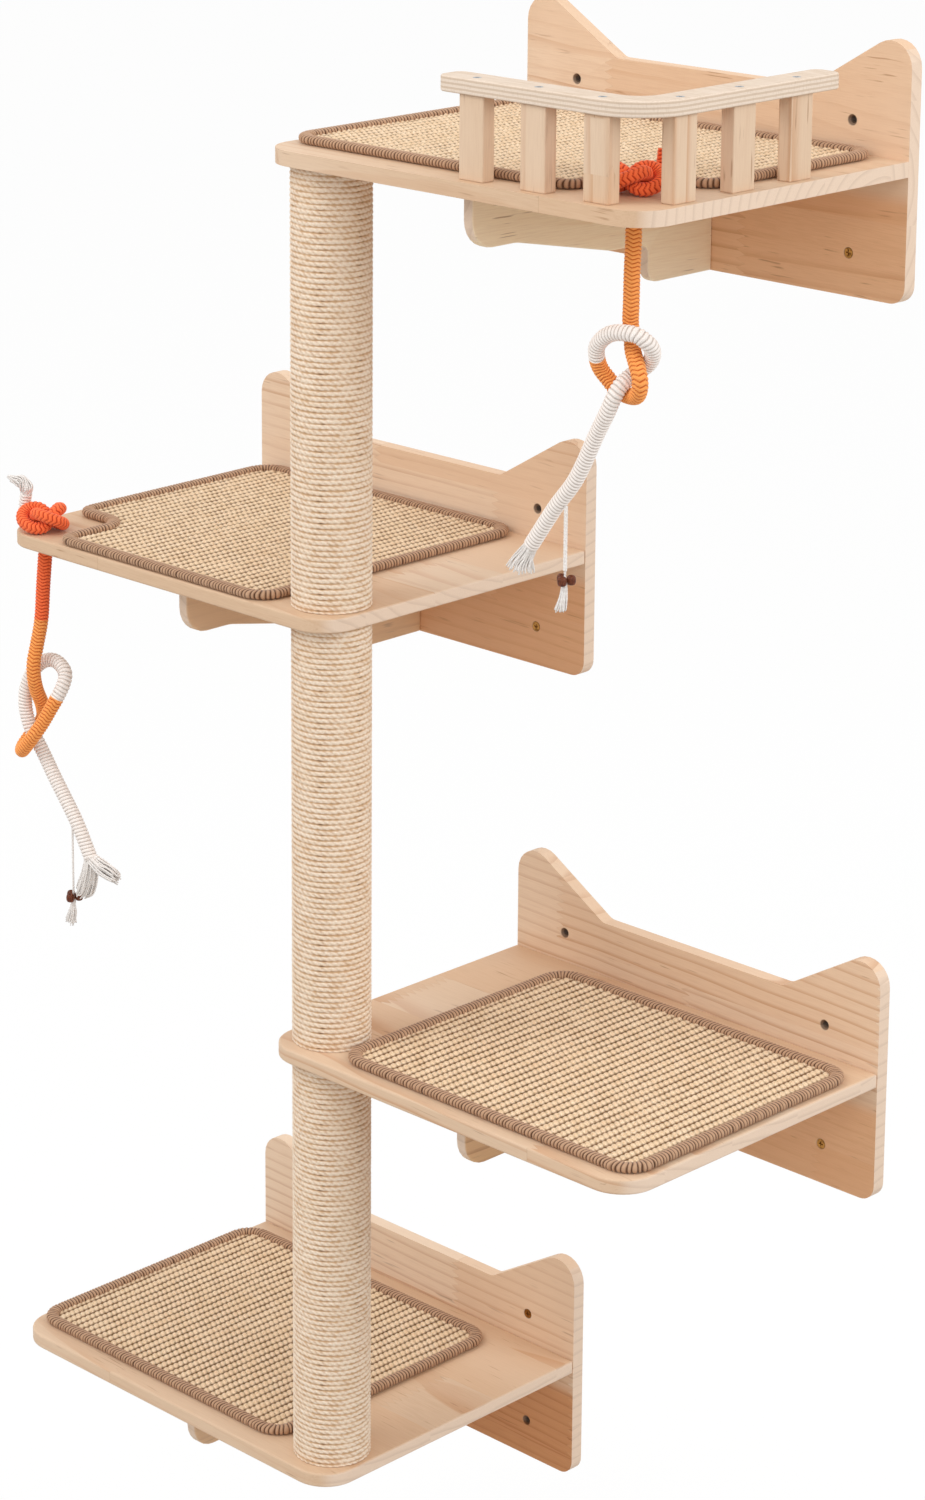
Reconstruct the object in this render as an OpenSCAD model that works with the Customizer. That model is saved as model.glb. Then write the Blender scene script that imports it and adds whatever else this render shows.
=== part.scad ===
// Wall-mounted climbing tower for a cat.
// Four shelves on ear-shaped back boards are joined by one rope-wound column.
// Origin: middle of the top board's upper pair of wall holes, on the wall face.
// +X runs right along the wall, +Y goes into the wall, +Z is up. Millimetres.

/* [Tiers] */
// Height from one shelf top to the next
tier_pitch = 450; // [420:5:520]
// Width of every shelf and back board
shelf_w = 480; // [465:5:560]
// Depth of every shelf in front of its back board
shelf_d = 370; // [362:2:400]
// Thickness of the shelves
shelf_t = 15; // [14:1:20]
// Corner radius at the front of a shelf
shelf_corner_r = 38; // [20:1:45]

/* [Back boards] */
// Thickness of the back boards
board_t = 15; // [14:1:20]
// Board below the shelf top
board_drop = 136; // [130:2:170]
// Straight top edge above the shelf top, between the ears
valley_rise = 57; // [45:1:70]
// Width of each ear along the board's top edge
ear_w = 120; // [100:2:130]
// Height of the unrounded ear tip above the valley
ear_rise = 72; // [50:1:90]
// Tip radius of the ears
ear_tip_r = 25; // [15:1:30]
// Radius where an ear runs into the valley
valley_blend_r = 14; // [8:1:40]
// Radius of the board's bottom corners
board_corner_r = 17; // [8:1:25]

/* [Wall holes] */
// Wall holes' distance in from the board's side edges
wall_hole_inset = 67; // [45:1:90]
// Upper wall holes above the shelf top
wall_hole_up = 31; // [22:1:38]
// Lower wall holes below the shelf top
wall_hole_down = 95; // [80:1:105]
// Radius of the wall holes
wall_hole_r = 3.5; // [3.2:0.1:4]
// Depth of the wall holes' countersink
wall_sink = 2; // [1.5:0.1:3]
// Shank radius of the wall screws
wall_screw_r = 2.5; // [2:0.1:2.7]
// Length of the wall screws
wall_screw_len = 50; // [40:5:80]

/* [Gussets] */
// Thickness of the gusset under a shelf
gusset_t = 12; // [10:1:18]
// Gusset length from the wall face to its front edge
gusset_reach = 350; // [330:2:356]
// Gusset depth below the shelf top at its front
gusset_front_drop = 71; // [62:1:76]
// Gusset depth below the shelf top at the inner end of its slope
gusset_slope_drop = 97; // [92:1:102]
// Distance from the wall face to the gusset's step
gusset_step = 108; // [90:1:120]
// Length of the gusset's level front edge
gusset_nose = 60; // [50:5:80]
// Length of the gusset's level stretch in front of its step
gusset_flat = 52; // [40:2:70]
// Radius of the gusset's lower front corner
gusset_corner_r = 28; // [20:1:32]
// Radius of the gusset's soft bends
gusset_bend_r = 60; // [40:5:70]
// Radii above and below the gusset's step
gusset_step_r = [10, 15]; // [5:1:20]

/* [Column] */
// Distance from the shelf's side edge to the column axis
post_side = 44; // [41:1:48]
// Distance from the shelf's front edge to the column axis
post_front = 53; // [48:1:60]
// Outer radius of the wound column
post_r = 40; // [38:0.5:42]
// Diameter of the sisal rope on the column
sisal_d = 5.4; // [5:0.1:6]
// Gap between the rope turns that are drawn
sisal_gap = 0.5; // [0.45:0.05:1]
// Rope turns drawn at the foot of each column length
sisal_turns = 20; // [10:1:20]
// Wall of the cardboard tube under the rope
tube_wall = 4; // [3:0.5:6]
// Length of the wooden plugs in the tube ends
plug_len = 22; // [20:1:40]
// Radius of the column studs and bolts
bolt_r = 4; // [3:0.5:5]
// Radial clearance of a stud or bolt in a shelf
bolt_clear = 0.4; // [0.2:0.1:0.8]

/* [Guard rail] */
// Thickness of the rail
rail_t = 15; // [12:1:18]
// Width of the rail
rail_w = 32; // [28:1:36]
// Height of the balusters
baluster_h = 78; // [60:2:110]
// Width of a baluster along the rail
baluster_w = 30; // [24:1:34]
// Thickness of a baluster across the rail
baluster_t = 15; // [14:1:20]
// Rail's outer edge in from the shelf's front edge
rail_front_inset = 5; // [3:1:8]
// Rail's outer edge in from the shelf's right edge
rail_side_inset = 4; // [3:1:8]
// Length of the rail's front arm
rail_front_len = 248; // [230:2:280]
// Length of the rail's side arm
rail_side_len = 270; // [250:2:285]
// Outer radius of the rail's bend
rail_bend_r = 55; // [40:1:60]
// Radius at the rail's free ends
rail_end_r = 10; // [4:1:14]
// Outer face of the balusters in from the rail's outer edge
baluster_inset = 4; // [2:1:8]
// First front baluster's centre from the rail's free end
baluster_front_start = 40; // [34:1:50]
// Pitch of the front balusters
baluster_front_pitch = 75; // [60:1:78]
// First side baluster's centre from the rail's free end
baluster_side_start = 52; // [40:1:56]
// Pitch of the side balusters
baluster_side_pitch = 79; // [60:1:80]

/* [Mats] */
// Thickness of the woven mats
mat_t = 6; // [4:0.5:8]
// Height of the mats' bound edge
binding_h = 8; // [7:0.5:10]
// Width of the mats' bound edge
binding_w = 14; // [10:0.5:16]
// Corner radius of the mats
mat_corner_r = 30; // [20:1:34]
// Corner radius beside a mat's notch
notch_corner_r = 22; // [18:1:26]
// Mat 1's gaps to the shelf's left edge, side balusters, back board and front balusters
mat_gaps_1 = [2, 7, 2, 9]; // [1:1:30]
// Mat 2's gaps to the shelf's left edge, column, back board and shelf's front edge
mat_gaps_2 = [13, 4, 2, 1]; // [1:1:30]
// Mat 3's gaps to the column, shelf's right edge, back board and shelf's front edge
mat_gaps_3 = [4, 5, 26, 15]; // [1:1:30]
// Mat 4's gaps to the shelf's left edge, column, back board and shelf's front edge
mat_gaps_4 = [3, 8, 26, 21]; // [1:1:30]
// Width and depth of the notch round the toy rope's knot in mat 1
notch_1 = [84, 92]; // [70:1:120]
// Width and depth of the notch round the toy rope's knot in mat 2
notch_2 = [68, 85]; // [55:1:120]

/* [Joinery] */
// Shank radius of the wood screws
screw_r = 2; // [1.8:0.1:2.2]
// Head radius of the wood screws
screw_head_r = 4; // [3.5:0.1:4.5]
// Length of the wood screws through the boards
screw_len = 45; // [40:1:50]
// Radial clearance of a screw in its hole
screw_clear = 0.1; // [0.05:0.05:0.2]
// Height of the straight rim of a countersunk head
head_rim = 0.4; // [0.2:0.1:0.6]
// Spacing of the screws along the shelf's back edge
edge_screw_pitch = 160; // [120:5:170]
// Places of the screws through the board into the gusset, as shares of the board's drop
gusset_screw_down = [0.4, 0.82]; // [0.3:0.02:0.9]
// Places of the screws through the shelf into the gusset, as shares of the gusset's reach
gusset_screw_out = [0.3, 0.82]; // [0.2:0.02:0.9]

/* [Rope toys] */
// Radius of the toy ropes
rope_r = 7; // [6:0.1:7]
// Radial clearance of a toy rope in its shelf hole
rope_clear = 0.5; // [0.3:0.1:1]
// Toy 1's hole from the shelf's right edge and from its front edge
toy_hole_1 = [84, 84]; // [1:1:120]
// Toy 2's hole from the shelf's left edge and from its front edge
toy_hole_2 = [22, 41]; // [1:1:120]
// Radius of the rope where it is pulled into the knot
knot_rope_r = 5.8; // [5:0.1:5.8]
// Radii of the thin cords that hang from toy 1 and toy 2
toy_cord_r = [2, 1.2]; // [0.8:0.1:2.2]
// Radius of the thin cords between their beads
bead_cord_r = 1.2; // [0.8:0.1:1.4]
// Radius of a bead
bead_r = 4.5; // [3.5:0.1:5]
// Radius of the hole through a bead
bead_hole_r = 1; // [0.6:0.1:1.4]
// Length of the tassels
tassel_len = 28; // [20:1:32]
// Radius of a tassel's spread end
tassel_r = 7; // [5:0.5:8]
// Radius of a tassel's tied neck
tassel_neck_r = 2.6; // [2:0.1:3]
// Gap left round the pivots of the hanging pieces
pivot_gap = 0.3; // [0.2:0.05:0.5]

/* [Hidden] */
$fn = 64;

pine = "#DFC29B";
ply = "#E3CFB0";
straw = "#E3CB9C";
binding_brown = "#9C7357";
sisal = "#E6D2AC";
card = "#B89A72";
brass = "#B08D4A";
steel = "#9A9DA1";
red_orange = "#EE5A30";
orange = "#F58A35";
cotton = "#E8E0DA";
bead_brown = "#4A2A1C";

tiers = [1, 2, 3, 4];
past = 1;
column_shift = shelf_w - 2 * post_side;
shelf_front = board_t + shelf_d;
post_y = -(shelf_front - post_front);
post_len = tier_pitch - shelf_t;
winding_pitch = sisal_d + sisal_gap;
winding_skin = 0.1;
winding_clear = 0.05;
winding_r = post_r - sisal_d / 2 - winding_skin;
winding_rings = 12;
winding_sides = 6;
winding_h = sisal_turns * winding_pitch + sisal_d + 2 * sisal_gap;
tube_r = winding_r * cos(180 / winding_rings) - sisal_d / 2 - winding_clear;
plug_r = tube_r - tube_wall;
bolt_head_r = 2 * bolt_r;
bolt_in_plug = plug_len - 4;
rail_inner_r = rail_bend_r - rail_w;
mat_clear = 0.2;
bead_clear = 0.1;
wall_head_sunk = 0.1;
wall_head_r = wall_hole_r + wall_sink - head_rim - wall_head_sunk - screw_clear;
rail_screw_len = min(screw_len, rail_t + baluster_h / 2 - 2, shelf_t + baluster_h / 2 - 2);

function odd(i) = i % 2 == 1;
function tier_x(i) = (odd(i) ? 0 : -column_shift) - shelf_w / 2;
function tier_z(i) = -wall_hole_up - tier_pitch * (i - 1);
function post_x(i) = odd(i) ? post_side : shelf_w - post_side;
function toy_hole_x(i) = i == 1 ? shelf_w - toy_hole_1[0] : toy_hole_2[0];
function toy_hole_y(i) = -(shelf_front - (i == 1 ? toy_hole_1[1] : toy_hole_2[1]));

// Places a piece of tier i: x from the shelf's left edge, y from the wall face, z from the shelf top
module at_tier(i) {
    translate([tier_x(i), 0, tier_z(i)]) children();
}

module at_post(i) {
    at_tier(i) translate([post_x(i), post_y, 0]) children();
}

module at_toy(i) {
    at_tier(i) translate([toy_hole_x(i), toy_hole_y(i), 0]) children();
}

// Outlines: each corner is [x, y, radius]
function unit(v) = v / norm(v);

function turn_sign(a, b) = a[0] * b[1] - a[1] * b[0] < 0 ? -1 : 1;

function corner_arc(p, c, n, steps) =
    let(a = unit([p[0] - c[0], p[1] - c[1]]),
        b = unit([n[0] - c[0], n[1] - c[1]]),
        half = acos(max(-1, min(1, a * b))) / 2,
        mid = [c[0], c[1]] + unit(a + b) * c[2] / sin(half),
        first = [c[0], c[1]] + a * c[2] / tan(half) - mid,
        sweep = turn_sign(a, b) * -(180 - 2 * half),
        start = atan2(first[1], first[0]))
    [for (k = [0:steps]) mid + c[2] * [cos(start + sweep * k / steps), sin(start + sweep * k / steps)]];

function rounded(corners, steps = 8) =
    let(n = len(corners))
    [for (i = [0:n - 1])
        each corners[i][2] <= 0
            ? [[corners[i][0], corners[i][1]]]
            : corner_arc(corners[(i + n - 1) % n], corners[i], corners[(i + 1) % n], steps)];

// Tubes along a path of points
function path_direction(p, i) =
    i == 0 ? unit(p[1] - p[0])
    : i == len(p) - 1 ? unit(p[i] - p[i - 1])
    : unit(unit(p[i + 1] - p[i]) + unit(p[i] - p[i - 1]));

function squared(v, d) = unit(v - (v * d) * d);

function path_normals(p) =
    [for (i = 0, n = squared([0.1, 1, 0.2], path_direction(p, 0));
          i < len(p);
          i = i + 1, n = i < len(p) ? squared(n, path_direction(p, i)) : n) n];

function tube_points(p, radii, sides) =
    let(normals = path_normals(p))
    [for (i = [0:len(p) - 1])
        let(d = path_direction(p, i), u = normals[i], v = cross(d, u))
        for (k = [0:sides - 1])
            p[i] + radii[i] * (cos(360 * k / sides) * u + sin(360 * k / sides) * v)];

function tube_faces(rings, sides) = concat(
    [for (k = [1:sides - 2]) [0, k, k + 1]],
    [for (i = [0:rings - 2]) for (k = [0:sides - 1])
        let(a = i * sides + k, b = i * sides + (k + 1) % sides)
        each [[a, b + sides, b], [a, a + sides, b + sides]]],
    [for (k = [1:sides - 2]) let(e = (rings - 1) * sides) [e, e + k + 1, e + k]]);

module tube(p, radii, sides = 8) {
    polyhedron(tube_points(p, radii, sides), tube_faces(len(p), sides));
}

function same_radius(p, r) = [for (q = p) r];

// Wood screw along -Z with its countersunk head's top at z 0 and a cross slot in it
module screw(r, len, head_r) {
    slot = [head_r * 1.1, r * 0.4, r * 1.2];
    difference() {
        rotate_extrude() polygon([
            [0, 0], [head_r, 0], [head_r, -head_rim], [r, -head_rim - (head_r - r)],
            [r, -(len - 2 * r)], [0, -len]
        ]);
        for (a = [0, 90]) rotate(a) cube(slot, center = true);
    }
}

// Hole for such a screw, open past the head's top
module screw_hole(r, len, head_r) {
    c = screw_clear;
    rotate_extrude() polygon([
        [0, past], [head_r + c, past], [head_r + c, -head_rim], [r + c, -head_rim - (head_r - r)],
        [r + c, -len - c], [0, -len - c]
    ]);
}

// Screws through the back board into the shelf, through the board into the gusset,
// and down through the shelf into the gusset
module shelf_screw_places() {
    for (k = [-1, 0, 1])
        translate([shelf_w / 2 + k * edge_screw_pitch, 0, -shelf_t / 2]) rotate([-90, 0, 0]) children();
    for (share = gusset_screw_down)
        translate([shelf_w / 2, 0, -board_drop * share]) rotate([-90, 0, 0]) children();
    for (share = gusset_screw_out)
        translate([shelf_w / 2, -gusset_reach * share, 0]) children();
}

module wall_hole_places(up) {
    for (x = [wall_hole_inset, shelf_w - wall_hole_inset])
        translate([x, -board_t, up ? wall_hole_up : -wall_hole_down]) rotate([90, 0, 0]) children();
}

// Wall hole along -Z from the board's front face
module wall_hole() {
    rotate_extrude() polygon([
        [0, past], [wall_hole_r + wall_sink + past, past], [wall_hole_r, -wall_sink],
        [wall_hole_r, -board_t - past], [0, -board_t - past]
    ]);
}

// Back boards
module back_board(i) {
    top = valley_rise + ear_rise;
    outline = rounded([
        [0, -board_drop, board_corner_r],
        [shelf_w, -board_drop, board_corner_r],
        [shelf_w, top, ear_tip_r],
        [shelf_w - ear_w, valley_rise, valley_blend_r],
        [ear_w, valley_rise, valley_blend_r],
        [0, top, ear_tip_r]
    ]);
    color(pine) at_tier(i) difference() {
        rotate([90, 0, 0]) linear_extrude(board_t) polygon(outline);
        for (up = [true, false]) wall_hole_places(up) wall_hole();
        shelf_screw_places() screw_hole(screw_r, screw_len, screw_head_r);
    }
}

// Shelves: their back edge meets the back board's front face
module shelf(i) {
    outline = rounded([
        [0, -board_t, 0],
        [0, -shelf_front, shelf_corner_r],
        [shelf_w, -shelf_front, shelf_corner_r],
        [shelf_w, -board_t, 0]
    ], 10);
    color(pine) difference() {
        at_tier(i) translate([0, 0, -shelf_t]) linear_extrude(shelf_t) polygon(outline);
        at_tier(i) shelf_screw_places() screw_hole(screw_r, screw_len, screw_head_r);
        if (i == 1) {
            at_post(i) top_bolt_hole();
            baluster_places() translate([0, 0, -shelf_t]) rotate([180, 0, 0])
                screw_hole(screw_r, rail_screw_len, screw_head_r);
        } else {
            at_post(i) translate([0, 0, -shelf_t - past])
                cylinder(r = bolt_r + bolt_clear, h = shelf_t + 2 * past);
        }
        if (i <= 2)
            at_toy(i) translate([0, 0, -shelf_t - past])
                cylinder(r = rope_r + rope_clear, h = shelf_t + 2 * past);
    }
}

// Gussets: stand under the shelf's middle against the back board
module gusset(i) {
    outline = rounded([
        [board_t, -shelf_t, 0],
        [gusset_reach, -shelf_t, 0],
        [gusset_reach, -gusset_front_drop, gusset_corner_r],
        [gusset_reach - gusset_nose, -gusset_front_drop, gusset_bend_r],
        [gusset_step + gusset_flat, -gusset_slope_drop, gusset_bend_r],
        [gusset_step, -gusset_slope_drop, gusset_step_r[0]],
        [gusset_step, -board_drop, gusset_step_r[1]],
        [board_t, -board_drop, 0]
    ], 6);
    color(pine) at_tier(i) difference() {
        translate([(shelf_w - gusset_t) / 2, 0, 0])
            rotate([90, 0, -90]) mirror([0, 0, 1]) linear_extrude(gusset_t) polygon(outline);
        shelf_screw_places() screw_hole(screw_r, screw_len, screw_head_r);
    }
}

// Room for mat i on its shelf: left, right, back and front limit
function mat_room(i) =
    let(column = post_side + post_r)
    i == 1 ? [0, shelf_w - rail_side_inset - baluster_inset - baluster_t,
              -board_t, -(shelf_front - rail_front_inset - baluster_inset - baluster_t)]
    : [odd(i) ? column : 0, odd(i) ? shelf_w : shelf_w - column, -board_t, -shelf_front];

// Mats: the outline moves in by e
function mat_corners(i, e) =
    let(room = mat_room(i),
        gaps = [mat_gaps_1, mat_gaps_2, mat_gaps_3, mat_gaps_4][i - 1],
        l = room[0] + gaps[0] + e,
        r = room[1] - gaps[1] - e,
        b = room[2] - gaps[2] - e,
        f = room[3] + gaps[3] + e,
        big = mat_corner_r - e,
        lobe = notch_corner_r - e,
        inner = notch_corner_r + e)
    i == 1 ? [[l, b, big], [l, f, big], [r - notch_1[0], f, lobe], [r - notch_1[0], f + notch_1[1], inner],
              [r, f + notch_1[1], lobe], [r, b, big]]
    : i == 2 ? [[l, b, big], [l, f + notch_2[1], lobe], [l + notch_2[0], f + notch_2[1], inner],
                [l + notch_2[0], f, lobe], [r, f, big], [r, b, big]]
    : [[l, b, big], [l, f, big], [r, f, big], [r, b, big]];

module mat(i) {
    color(straw) at_tier(i)
        linear_extrude(mat_t) polygon(rounded(mat_corners(i, binding_w + mat_clear)));
}

module mat_binding(i) {
    color(binding_brown) at_tier(i) linear_extrude(binding_h) difference() {
        polygon(rounded(mat_corners(i, 0)));
        polygon(rounded(mat_corners(i, binding_w)));
    }
}

module shelf_screws(i) {
    color(steel) at_tier(i) shelf_screw_places() screw(screw_r, screw_len, screw_head_r);
}

// Wall screws: in the lower holes of tiers 1 to 3 and the upper holes of tier 4
module wall_screws() {
    color(brass) for (i = tiers)
        at_tier(i) wall_hole_places(i == 4)
            translate([0, 0, -wall_head_sunk]) screw(wall_screw_r, wall_screw_len, wall_head_r);
}

// Column lengths: each runs from the underside of shelf i to the top of shelf i + 1
module post_core(i) {
    color(card) at_post(i) translate([0, 0, -tier_pitch]) difference() {
        cylinder(r = tube_r, h = post_len);
        translate([0, 0, -past]) cylinder(r = plug_r, h = post_len + 2 * past);
    }
}

module post_plugs(i) {
    color(pine) at_post(i) translate([0, 0, -tier_pitch])
        for (z = [0, post_len - plug_len]) translate([0, 0, z]) difference() {
            cylinder(r = plug_r, h = plug_len);
            translate([0, 0, -past]) cylinder(r = bolt_r + screw_clear, h = plug_len + 2 * past);
        }
}

// One unbroken rope spiral; each ring lies in a plane through the column's axis
function winding_point(i, k) =
    let(a = 360 * i / winding_rings,
        b = 360 * k / winding_sides + 30,
        r = winding_r + cos(b) * sisal_d / 2,
        z = winding_pitch * i / winding_rings - sin(b) * sisal_d / 2)
    [r * cos(a), r * sin(a), z];

function winding_points() =
    [for (i = [0:sisal_turns * winding_rings]) for (k = [0:winding_sides - 1]) winding_point(i, k)];

function winding_least_gap() =
    min([for (i = [0:winding_rings]) for (step = [-1, 0, 1]) if (i + step >= 0)
        for (k = [0:winding_sides - 1]) for (m = [0:winding_sides - 1])
            norm(winding_point(i, k) - winding_point(i + step + winding_rings, m))]);

module sisal_winding(i) {
    echo(str("least gap between rope turns, mm: ", winding_least_gap()));
    color(sisal) at_post(i) translate([0, 0, -tier_pitch]) {
        translate([0, 0, sisal_d / 2 + sisal_gap])
            polyhedron(winding_points(), tube_faces(sisal_turns * winding_rings + 1, winding_sides));
        translate([0, 0, winding_h]) difference() {
            cylinder(r = post_r, h = post_len - winding_h);
            translate([0, 0, -past]) cylinder(r = tube_r, h = post_len + 2 * past);
        }
    }
}

// Column hardware
function bolt_profile(c, len, top) = [
    [0, top], [bolt_head_r + c, top], [bolt_head_r + c, -head_rim],
    [bolt_r + c, -head_rim - (bolt_head_r - bolt_r)], [bolt_r + c, -len - c], [0, -len - c]
];

module top_bolt_hole() {
    rotate_extrude() polygon(bolt_profile(bolt_clear, shelf_t + past, past));
}

module column_top_bolt() {
    color(steel) at_post(1) rotate_extrude() polygon(bolt_profile(0, shelf_t + bolt_in_plug, 0));
}

module column_studs() {
    color(steel) for (i = [2, 3])
        at_post(i) translate([0, 0, -shelf_t - bolt_in_plug])
            cylinder(r = bolt_r, h = shelf_t + 2 * bolt_in_plug);
}

module column_foot_bolt() {
    washer_t = 1.6;
    washer_r = 2.5 * bolt_r;
    head_h = 5;
    head_r = 1.8 * bolt_r;
    color(steel) at_post(4) translate([0, 0, -shelf_t]) {
        cylinder(r = bolt_r, h = shelf_t + bolt_in_plug);
        translate([0, 0, -washer_t]) cylinder(r = washer_r, h = washer_t);
        translate([0, 0, -washer_t - head_h]) cylinder(r = head_r, h = head_h, $fn = 6);
    }
}

// Guard rail on shelf 1
function baluster_spot(n) = n <= 3
    ? [shelf_w - rail_side_inset - rail_front_len + baluster_front_start + baluster_front_pitch * (n - 1),
       -(shelf_front - rail_front_inset - baluster_inset - baluster_t / 2), 0]
    : [shelf_w - rail_side_inset - baluster_inset - baluster_t / 2,
       -(shelf_front - rail_front_inset - rail_side_len + baluster_side_start
         + baluster_side_pitch * (6 - n)), 90];

module baluster_place(n) {
    spot = baluster_spot(n);
    at_tier(1) translate([spot[0], spot[1], 0]) rotate([0, 0, spot[2]]) children();
}

module baluster_places() {
    for (n = [1:6]) baluster_place(n) children();
}

module guard_rail() {
    r = shelf_w - rail_side_inset;
    f = -(shelf_front - rail_front_inset);
    outline = rounded([
        [r - rail_front_len, f, rail_end_r],
        [r, f, rail_bend_r],
        [r, f + rail_side_len, rail_end_r],
        [r - rail_w, f + rail_side_len, rail_end_r],
        [r - rail_w, f + rail_w, rail_inner_r],
        [r - rail_front_len, f + rail_w, rail_end_r]
    ]);
    color(ply) difference() {
        at_tier(1) translate([0, 0, baluster_h]) linear_extrude(rail_t) polygon(outline);
        baluster_places() translate([0, 0, baluster_h + rail_t])
            screw_hole(screw_r, rail_screw_len, screw_head_r);
    }
}

module baluster(n) {
    color(pine) difference() {
        baluster_place(n) translate([-baluster_w / 2, -baluster_t / 2, 0])
            cube([baluster_w, baluster_t, baluster_h]);
        baluster_place(n) translate([0, 0, baluster_h + rail_t])
            screw_hole(screw_r, rail_screw_len, screw_head_r);
        baluster_place(n) translate([0, 0, -shelf_t]) rotate([180, 0, 0])
            screw_hole(screw_r, rail_screw_len, screw_head_r);
    }
}

module rail_screws() {
    color(steel) baluster_places() translate([0, 0, baluster_h + rail_t])
        screw(screw_r, rail_screw_len, screw_head_r);
}

module baluster_screws() {
    color(steel) baluster_places() translate([0, 0, -shelf_t]) rotate([180, 0, 0])
        screw(screw_r, rail_screw_len, screw_head_r);
}

// Knot of a toy rope on top of its shelf: the rope comes up through the hole,
// winds twice round a ring as it passes over and under itself, and ends in a tail
knot_ring_r = 2.76 * knot_rope_r;
knot_sway = 1.21 * knot_rope_r;
knot_lift = 1.3 * knot_rope_r;
knot_mid = knot_rope_r + knot_lift + pivot_gap;
knot_rings = 30;
knot_stem = [-shelf_t, -shelf_t / 2, 2];
knot_turns_from = 8;
knot_turns_to = 330;

function knot_point(side, t) =
    let(r = knot_ring_r + knot_sway * cos(3 * t))
    [r * cos(2 * t), side * r * sin(2 * t), knot_mid + knot_lift * sin(3 * t)];

function knot_foot(side) = let(q = knot_point(side, -knot_turns_from)) [q[0], q[1], 0];

// The tails as they lie where the knot winds to the right
knot_tails = [
    [[12, -20, 8], [14, -27, 13], [15, -31, 23], [16, -33, 36]],
    [[12, -20, 8], [13, -25.5, 13], [13, -26, 23], [10, -23, 36]]
];
function knot_side(i) = i == 1 ? 1 : -1;
function knot_turn(i) = i == 1 ? 152 : 120;
function knot_tail(i) = [for (p = knot_tails[i - 1]) [p[0], knot_side(i) * p[1], p[2]]];

function knot_path(i) = let(side = knot_side(i), turned = knot_turns_to - knot_turns_from) concat(
    [for (z = knot_stem) knot_foot(side) + [0, 0, z]],
    [for (k = [0:knot_rings]) knot_point(side, knot_turns_from + turned * k / knot_rings)],
    knot_tail(i));

module at_knot(i) {
    at_toy(i) rotate([0, 0, knot_turn(i)]) translate(-knot_foot(knot_side(i))) children();
}

module toy_knot(i) {
    p = knot_path(i);
    radii = [for (k = [0:len(p) - 1]) k < len(knot_stem) ? rope_r : knot_rope_r];
    color(red_orange) at_knot(i) tube(p, radii);
}

module toy_knot_fray_2() {
    route = [[10, 23, 36], [8.6, 21.6, 42], [8, 28, 49], [5, 41, 53]];
    color(cotton) at_knot(2) tube(route, [knot_rope_r, 7, 7, 2.5]);
}

// Hanging ropes: routes by hand, from the shelf hole's axis and the shelf top
toy_1_route = [
    [1, 0, -42], [-1, 1, -75], [-4, 4, -105], [-7, 7, -122], [-6, 8, -136], [-1, 4, -147], [6, 0, -155],
    [12, -3, -163], [15, -4, -171], [13, -2, -180], [5, 3, -188], [-10, 9, -191], [-25, 12, -189],
    [-35, 10, -180], [-40, 4, -169], [-38, -3, -157], [-33, -8, -146], [-22, -11, -136], [-10, -12, -130],
    [4, -11, -128], [14, -8, -129], [20, -2, -135], [20, 6, -143], [14, 13, -153], [5, 16, -162],
    [-4, 13, -169], [-8, 6, -174], [-9, -3, -180], [-12, -8, -190], [-20, -8, -206], [-36, -4, -230],
    [-63, 0, -276], [-89, 0, -309], [-118, 0, -350]
];
toy_2_route = [
    [-6, 0, -64], [-9, -1, -103], [-11, -6, -131], [-11, -11, -150], [-12, -10, -167], [-15, -4, -183],
    [-18, 4, -197], [-23, 11, -210], [-30, 16, -221], [-38, 15, -232], [-43, 9, -242], [-42, -1, -250],
    [-34, -10, -252], [-24, -15, -246], [-14, -16, -236], [-5, -15, -225], [2, -11, -213], [9, -7, -199],
    [15, -2, -185], [18, 4, -172], [15, 10, -161], [6, 12, -154], [-5, 12, -151], [-16, 10, -153],
    [-25, 6, -160], [-32, 2, -171], [-36, -1, -186], [-37, -2, -202], [-34, -2, -217], [-28, -1, -231],
    [-20, 2, -245], [-10, 3, -259], [5, 2, -276], [41, 0, -315], [64, 0, -351]
];
// Where each thin cord leaves its rope, and how far it hangs
toy_cord_exit = [[-75.5, 0, -306.4], [34.4, 0, -319.8]];
toy_cord_len = [64.5, 76];
// Outline of each frayed rope end: route and radii
toy_fray_route = [
    [[-118, 0, -350], [-123.8, 0, -358.2], [-130, 0, -368], [-135, 0, -376]],
    [[64, 0, -351], [69.6, 0, -359.8], [74, 0, -374], [75, 0, -390]]
];
toy_fray_radii = [[7, 9, 13, 13], [7, 12, 18, 11]];

// The rope's top is a ball round the pivot, just under the shelf
function pivot_z() = -shelf_t - rope_r - pivot_gap;
ball_rise = [78, 54, 30];
function ball_points() = [for (a = ball_rise) [0, 0, pivot_z() + rope_r * sin(a)]];
function ball_radii() = [for (a = ball_rise) rope_r * cos(a)];

module toy_rope(i) {
    route = concat([[0, 0, pivot_z()]], i == 1 ? toy_1_route : toy_2_route);
    radii = concat(ball_radii(), same_radius(route, rope_r));
    color(orange) at_toy(i) tube(concat(ball_points(), route), radii);
}

module toy_fray(i) {
    color(cotton) at_toy(i) tube(toy_fray_route[i - 1], toy_fray_radii[i - 1]);
}

module at_cord(i) {
    at_toy(i) translate(toy_cord_exit[i - 1]) children();
}

// The cord ends where the tassel is tied on, just below the beads
function toy_cord_end(i) = toy_cord_len[i - 1] + 2 * bead_r;

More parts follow.
